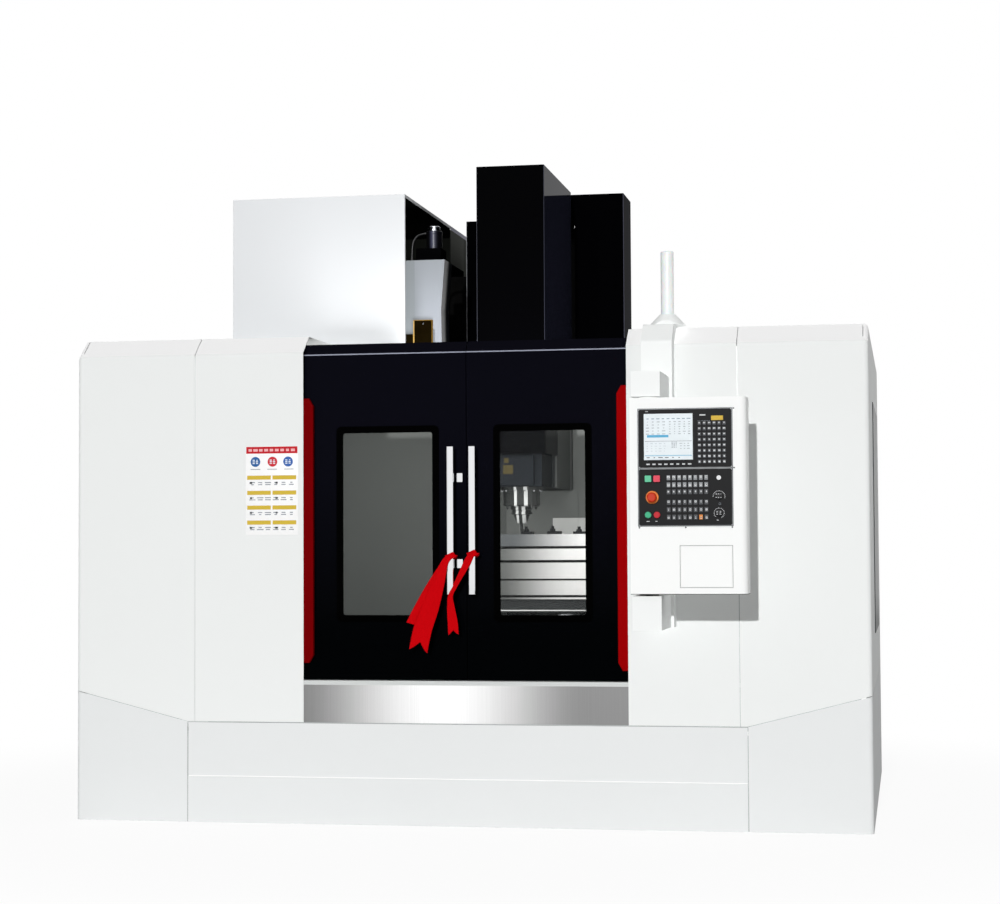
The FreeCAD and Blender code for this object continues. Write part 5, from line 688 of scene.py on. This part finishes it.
def tick_ring(kind):
    # pieces set round a circle; the circle faces along Y before it is turned
    tree = bpy.data.node_groups.new("ring_of_pieces", "GeometryNodeTree")
    for name, sort in (("middle", "Vector"), ("turned", "Vector"), ("count", "Int"), ("radius", "Float"),
                       ("start", "Float"), ("sweep", "Float"), ("size", "Vector"), ("finish", "Material")):
        tree.interface.new_socket(name, in_out="INPUT", socket_type="NodeSocket" + sort)
    tree.interface.new_socket("pieces", in_out="OUTPUT", socket_type="NodeSocketGeometry")
    given = add(tree, "NodeGroupInput").outputs
    index = add(tree, "GeometryNodeInputIndex").outputs[0]
    share = add(tree, "ShaderNodeMath", {0: index, 1: given["count"]}, operation="DIVIDE")
    angle = add(tree, "ShaderNodeMath", {0: share.outputs[0], 1: given["sweep"], 2: given["start"]},
                operation="MULTIPLY_ADD")
    across = add(tree, "ShaderNodeMath", {0: angle.outputs[0]}, operation="COSINE")
    up = add(tree, "ShaderNodeMath", {0: angle.outputs[0]}, operation="SINE")
    spot = add(tree, "ShaderNodeCombineXYZ", {0: across.outputs[0], 2: up.outputs[0]})
    spot = add(tree, "ShaderNodeVectorMath", {0: spot.outputs[0], "Scale": given["radius"]},
               operation="SCALE")
    points = add(tree, "GeometryNodePoints", {"Count": given["count"], "Position": spot.outputs[0]})
    if kind == "tick":
        piece = add(tree, "GeometryNodeMeshCube", {"Size": given["size"]}).outputs[0]
    else:
        round_piece = add(tree, "GeometryNodeMeshCylinder", {"Vertices": 8, "Radius": 0.5, "Depth": 1.0})
        facing = add(tree, "GeometryNodeTransform", {0: round_piece.outputs[0],
                                                     "Rotation": (math.pi / 2, 0, 0)})
        piece = add(tree, "GeometryNodeTransform", {0: facing.outputs[0], "Scale": given["size"]}).outputs[0]
    back = add(tree, "ShaderNodeMath", {0: angle.outputs[0], 1: -1.0}, operation="MULTIPLY")
    lean = add(tree, "ShaderNodeCombineXYZ", {1: back.outputs[0]})
    ring = add(tree, "GeometryNodeInstanceOnPoints", {"Points": points.outputs[0], "Instance": piece,
                                                      "Rotation": lean.outputs[0]})
    real = add(tree, "GeometryNodeRealizeInstances", {0: ring.outputs[0]})
    placed = add(tree, "GeometryNodeTransform", {0: real.outputs[0], "Translation": given["middle"],
                                                 "Rotation": given["turned"]})
    done = add(tree, "GeometryNodeSetMaterial", {0: placed.outputs[0], "Material": given["finish"]})
    add(tree, "NodeGroupOutput", {0: done.outputs[0]})
    return tree


def grown(name, tree, body, slot, **values):
    # run a tree once and keep its result as a plain mesh
    piece = placed(name, bpy.data.meshes.new(name))
    step = piece.modifiers.new("tree", "NODES")
    step.node_group = tree
    for socket in tree.interface.items_tree:
        if socket.item_type == "SOCKET" and socket.in_out == "INPUT":
            step[socket.identifier] = values[socket.name]
    shape = piece.evaluated_get(bpy.context.evaluated_depsgraph_get())
    plain = bpy.data.meshes.new_from_object(shape)
    piece.modifiers.remove(step)
    piece.data = plain
    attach(piece, body)
    return piece


bars_tree = mark_field()
ticks_tree = tick_ring("tick")
screws_tree = tick_ring("screw")


def ink(name, colour):
    return surface("silk_screen_" + name, colour, cloud=0.05, cloud_mm=6, grain_mm=1, grain_height=0.01,
                   Roughness=0.6, Specular_IOR_Level=0.1)


pale_ink, grey_ink = ink("pale", "#D6D8DA"), ink("grey", "#8D949C")
blue_ink, line_ink = ink("blue", "#62B5DC"), ink("line_blue", "#8FC4DE")
dark_ink = ink("dark", "#3A3D42")
thick = 0.0003


def bars(name, x0, x1, z0, z1, columns, rows, w, h, finish, depth, shortest=0.5, seed=1, body="pendant",
         slot="unit_dark"):
    # bars spread over the field, the outer ones flush with its borders, w by h mm
    grown(name, bars_tree, body, slot, middle=at((x0 + x1) / 2, depth, (z0 + z1) / 2),
          bar=(w / 1000, thick, h / 1000), columns=columns, rows=rows,
          across=(x1 - x0 - w) / 1000 / max(columns - 1, 1), up=(z1 - z0 - h) / 1000 / max(rows - 1, 1),
          shortest=shortest, seed=seed, finish=finish)


# Depths of the faces that carry prints: the keys, the display's glass, the bare panel
# and the tops of the dials.
key_face = panel_face - 2.1
glass_face = panel_face + 1.4
bare_face = panel_face - 0.15
dial_face = panel_face - 20.8
bars("typing_key_legends", 1078, 1188, 1539, 1702, 6, 8, 10, 6.5, pale_ink, key_face, 0.55, 2)
bars("typing_key_second_legends", 1079, 1189, 1537, 1698, 6, 8, 9, 2, grey_ink, key_face, 0.3, 5)
bars("soft_key_marks", 868, 1050, 1530, 1537, 8, 1, 14, 5, pale_ink, key_face, 0.7, 3)
bars("upper_key_legends", 951, 1115, 1444, 1486, 8, 2, 11, 9, ink("key_white", "#DADCDD"), key_face, 0.6, 4)
bars("upper_key_signs", 953, 1113, 1448, 1482, 8, 2, 6, 3, dark_ink, key_face - 0.2, 0.4, 9)
bars("middle_key_legends", 952, 1114, 1416, 1429, 8, 1, 8, 7, pale_ink, key_face, 0.4, 6)
bars("lower_key_legends", 952, 1114, 1313, 1386, 8, 3, 9, 8, pale_ink, key_face, 0.4, 7)
bars("lower_key_signs", 954, 1112, 1316, 1383, 8, 3, 5, 2.5, dark_ink, key_face - 0.2, 0.4, 8)
bars("label_under_buttons", 866, 914, 1302, 1304.5, 2, 1, 14, 2.5, pale_ink, bare_face, 0.5, 4)
bars("name_strip_left", 864, 876, 1746, 1748, 1, 1, 12, 2, pale_ink, bare_face, 1.0, 1)
bars("name_strip_right", 1084, 1108, 1728, 1733, 1, 1, 24, 5, pale_ink, bare_face, 1.0, 1)
bars("key_row_line", 1077, 1125, 1706, 1708, 8, 1, 4, 2, grey_ink, bare_face, 0.5, 1)
bars("plate_beside_screen", 1131, 1179, 1709, 1727, 1, 1, 48, 18, ink("brass_yellow", "#D9B64C"), bare_face,
     1.0, 1)
bars("display_title", 866, 1048, 1716, 1719, 9, 1, 16, 3, ink("title_blue", "#7E97A8"), glass_face, 0.4, 2)
bars("display_rows_left", 866, 946, 1655, 1706, 4, 5, 14, 2.2, grey_ink, glass_face, 0.15, 3)
bars("display_rows_right", 958, 1048, 1655, 1706, 5, 6, 12, 2.2, grey_ink, glass_face, 0.15, 4)
bars("display_bar", 871, 958, 1642, 1652, 1, 1, 87, 10, blue_ink, glass_face, 1.0, 1)
bars("display_rule", 862, 1052, 1626, 1627.5, 1, 1, 190, 1.5, grey_ink, glass_face, 1.0, 1)
bars("display_rows_low", 866, 948, 1586, 1618, 5, 4, 12, 1.6, ink("faint", "#B9C2C9"), glass_face, 0.2, 6)
bars("display_block", 970, 992, 1600, 1624, 3, 5, 6, 2.6, grey_ink, glass_face, 0.5, 7)
bars("display_rows_last", 1002, 1044, 1596, 1618, 3, 3, 12, 1.8, grey_ink, glass_face, 0.3, 8)
bars("display_foot", 862, 1052, 1567, 1570, 1, 1, 190, 3, line_ink, glass_face, 1.0, 1)
bars("display_foot_words", 866, 1010, 1559, 1562, 6, 1, 18, 2.4, dark_ink, glass_face, 0.3, 9)
no_turn = (0.0, 0.0, 0.0)
for name, z, radius, start, sweep, count in (("feed_scale", 1400, 24, -10, 200, 15),
                                             ("speed_scale", 1335, 20, -60, 300, 17)):
    grown(name, ticks_tree, "pendant", "unit_dark", middle=at(1160, bare_face, z), turned=no_turn,
          count=count, radius=radius / 1000, start=math.radians(start), sweep=math.radians(sweep),
          size=(0.0035, thick, 0.0022), finish=pale_ink)
grown("feed_ring", ticks_tree, "pendant", "unit_dark", middle=at(1163, bare_face, 1372), turned=no_turn,
      count=12, radius=0.004, start=0.0, sweep=2 * math.pi, size=(0.0012, thick, 0.0022), finish=grey_ink)
bars("speed_sign", 1150, 1158, 1305, 1308, 1, 1, 8, 3, pale_ink, bare_face, 1.0, 1)
bars("feed_signs", 1148, 1172, 1396, 1412, 3, 2, 6, 2.2, pale_ink, dial_face, 0.4, 3, body="feed_dial")
bars("speed_signs", 1150, 1170, 1328, 1342, 2, 3, 7, 2.2, pale_ink, dial_face, 0.4, 5, body="speed_dial")

# ------------------------------------------------------------- placard
# Printed white sheet of 1.2 mm plastic, stuck on the left panel. Its fields keep
# their colours and places; in place of words and signs stand plain bars.
card_white = surface("printed_card", "#FDFDFD", cloud=0.004, cloud_mm=90, grain_mm=2, grain_height=0.01,
                     Roughness=0.4, Specular_IOR_Level=0.15)
card = bmesh.new()
block(card, at(-965, -1.2, 1261), at(-727, 0, 1652), 0.4)
finished("placard", card, card_white, machine)
card_face = -1.35


def card_bars(name, *values, depth=card_face, shortest=1.0, seed=1):
    bars(name, *values, depth, shortest, seed, body=machine, slot="panel_white")


card_bars("placard_header", -963, -729, 1620, 1650, 1, 1, 234, 30, ink("header_red", "#C6202C"))
card_bars("placard_header_marks", -955, -740, 1628, 1641, 9, 1, 20, 11, ink("header_pink", "#F2B9BC"),
          depth=card_face - 0.3, shortest=0.5, seed=5)
for name, x, colour in (("left", -921, "#2C63A2"), ("middle", -843, "#CF303C"), ("right", -772, "#3B68B2")):
    lathe("placard_disc_" + name, ((22, 0), (22, 0.5), (21, 0.7)), at(x, -1.2, 1583.5), (0, -1, 0),
          ink("disc_" + name, colour), machine, steps=32)
    card_bars("placard_disc_marks_" + name, x - 13, x + 13, 1574, 1593, 2, 3, 11, 4.5,
              ink("disc_white_" + name, "#E6EDF5"), depth=card_face - 0.8, shortest=0.4, seed=3)
card_bars("placard_disc_captions", -947, -742, 1549, 1552, 3, 1, 52, 3, grey_ink, shortest=0.8)
for row, z in enumerate((1514, 1447, 1382, 1316)):
    card_bars("placard_bars_%d" % row, -959, -735, z - 9, z + 9, 2, 1, 108, 18,
              ink("mustard_%d" % row, "#D6B843"))
    card_bars("placard_words_%d" % row, -950, -742, z - 33, z - 20, 6, 2, 30, 4, grey_ink,
              shortest=0.25, seed=row + 2)
    card_bars("placard_signs_%d" % row, -948, -818, z - 27, z - 19, 2, 1, 13, 8, dark_ink,
              shortest=0.6, seed=row + 7)

# ------------------------------------ screws of the collar, plates on the nose
# Cap screws of ground steel hold the spindle's collar, heads down. The two plates on
# the nose are etched brass, dulled, riveted to its front.
grown("collar_screws", screws_tree, "head", "bright_steel", middle=at(120, 850, 1465),
      turned=(math.pi / 2, 0.0, 0.0), count=12, radius=0.0935, start=0.2, sweep=2 * math.pi,
      size=(0.009, 0.006, 0.009), finish=bright_iron)
brass = ink("brass_plate", "#3A341F")
nose_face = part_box("nose_cover")[0].y
for name, x0, x1, z0, z1 in (("nose_plate_low", 67, 114, 1540, 1581),
                             ("nose_plate_high", 72, 93, 1591, 1614)):
    grown(name, bars_tree, "head", "nose_grey",
          middle=Vector(((x0 + x1) / 2000, nose_face - thick, (z0 + z1) / 2000)),
          bar=((x1 - x0) / 1000, thick, (z1 - z0) / 1000), columns=1, rows=1, across=0.0, up=0.0,
          shortest=1.0, seed=1, finish=brass)

# ------------------------------------------------------------- ribbons
# Polyester satin ribbon, woven and cut, tied round each handle with its ends hanging
# and cut to swallow-tails. Its weft shows as ribs 2 mm apart, coarser than real.
satin, tree, shader = blank("woven_satin_red", Roughness=0.6, Specular_IOR_Level=0.0)
uv = add(tree, "ShaderNodeUVMap", uv_map="cloth").outputs[0]
weft = add(tree, "ShaderNodeTexWave", {"Vector": uv, "Scale": 160.0, "Distortion": 0.4}, bands_direction="Y")
tone = add(tree, "ShaderNodeMix", {0: weft.outputs[1], 6: srgb("#B0040A"), 7: srgb("#DC0A12")},
           data_type="RGBA")
tree.links.new(tone.outputs[2], shader.inputs["Base Color"])
bump = add(tree, "ShaderNodeBump", {"Height": weft.outputs[1], "Distance": 0.0001, "Strength": 0.6})
tree.links.new(bump.outputs[0], shader.inputs["Normal"])


def smooth(stations, t):
    # a point of the smooth line through the stations, t from 0 to 1
    span = t * (len(stations) - 1)
    i = min(int(span), len(stations) - 2)
    f = span - i
    p0, p1 = stations[max(i - 1, 0)], stations[i]
    p2, p3 = stations[i + 1], stations[min(i + 2, len(stations) - 1)]
    return [0.5 * (2 * b + (c - a) * f + (2 * a - 5 * b + 4 * c - d) * f * f
                   + (3 * b - a - 3 * c + d) * f ** 3) for a, b, c, d in zip(p0, p1, p2, p3)]


def band(stations, notch, rows=44, columns=10):
    # stations: x, y, z, half width, and how far the strip is turned about its line
    points, uvs, faces = [], [], []
    length = sum(math.dist(a[:3], b[:3]) for a, b in zip(stations, stations[1:]))
    for r in range(rows + 1):
        for c in range(columns + 1):
            across = 2 * c / columns - 1
            t = r / rows * (1 - notch * (1 - abs(across)) / length)
            x, y, z, half, turned = smooth(stations, t)
            before, after = smooth(stations, max(t - 0.01, 0)), smooth(stations, min(t + 0.01, 1))
            onward = Vector(after[:3]) - Vector(before[:3])
            side = onward.cross(Vector((0, 1, 0))).normalized()
            out = side.cross(onward).normalized()
            reach = side * math.cos(turned) + out * math.sin(turned)
            # a slight ripple runs across and along the band, from its knot on
            ripple = 0.06 * half * math.sin(3.1 * across + 9 * t) * min(1, 3 * t)
            points.append(at(x, y, z) + (reach * across * half + out * ripple) / 1000)
            uvs.append((across * half / 1000, t * length / 1000))
    for r in range(rows):
        for c in range(columns):
            i = r * (columns + 1) + c
            faces.append((i, i + 1, i + columns + 2, i + columns + 1))
    return points, uvs, faces


def ribbon(name, strips, body, node):
    # one cloth of all its strips, which hangs from the handle on its own door
    points, uvs, faces = [], [], []
    for strip in strips:
        p, u, f = band(*strip)
        faces += [tuple(i + len(points) for i in face) for face in f]
        points += p
        uvs += u
    mesh = bpy.data.meshes.new(name)
    mesh.from_pydata(points, [], faces)
    layer = mesh.uv_layers.new(name="cloth")
    for loop in mesh.loops:
        layer.data[loop.index].uv = uvs[loop.vertex_index]
    for polygon in mesh.polygons:
        polygon.use_smooth = True
    mesh.materials.append(satin)
    piece = placed(name, mesh)
    thick_step = piece.modifiers.new("thickness", "SOLIDIFY")
    thick_step.thickness = 0.0006
    thick_step.offset = 0
    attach(piece, body)
    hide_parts(node)


def wrap(x, z, half, lean):
    # one turn of ribbon round a handle bar, in front of and behind it
    y0, y1 = -35.0, -7.5
    left, right = x - 17, x + 17
    return [(left, y0 + 3, z - lean, half, 0), (x, y0 - 2, z, half, 0), (right, y0 + 3, z + lean, half, 0),
            (right + 1, (y0 + y1) / 2, z + lean, half * 0.9, 0), (right - 2, y1, z, half * 0.9, 0),
            (x, y1, z, half * 0.9, 0), (left + 2, y1, z - lean, half * 0.9, 0),
            (left - 1, (y0 + y1) / 2, z - lean, half, 0), (left, y0 + 3, z - lean, half, 0)]


ribbon("ribbon_on_left_handle", [
    (wrap(-39.5, 1163, 13, 8), 0),
    ([(-40, -37, 1163, 12, 0), (-62, -38, 1135, 16, 0.2), (-88, -38, 1060, 27, 0.1), (-125, -36, 950, 38, 0),
      (-160, -35, 850, 41, 0), (-181, -34, 755, 41, 0)], 42),
    ([(-44, -35, 1160, 10, 0), (-78, -35, 1110, 16, 0), (-125, -33.5, 1015, 30, 0), (-170, -32, 920, 38, 0),
      (-199, -31, 862, 38, 0)], 14)],
    "left_door", "left_ribbon")
ribbon("ribbon_on_right_handle", [
    (wrap(56, 1172, 14, 8), 0),
    ([(62, -37, 1180, 12, 0.6), (44, -39, 1150, 15, 0.2), (18, -39, 1100, 15, -0.3),
      (-12, -38, 1045, 14, -0.6), (-37, -37, 995, 13, -0.4), (-35, -36, 940, 17, 0), (-28, -35, 880, 22, 0),
      (-25, -34, 826, 23, 0)], 24)],
    "right_door", "right_ribbon")
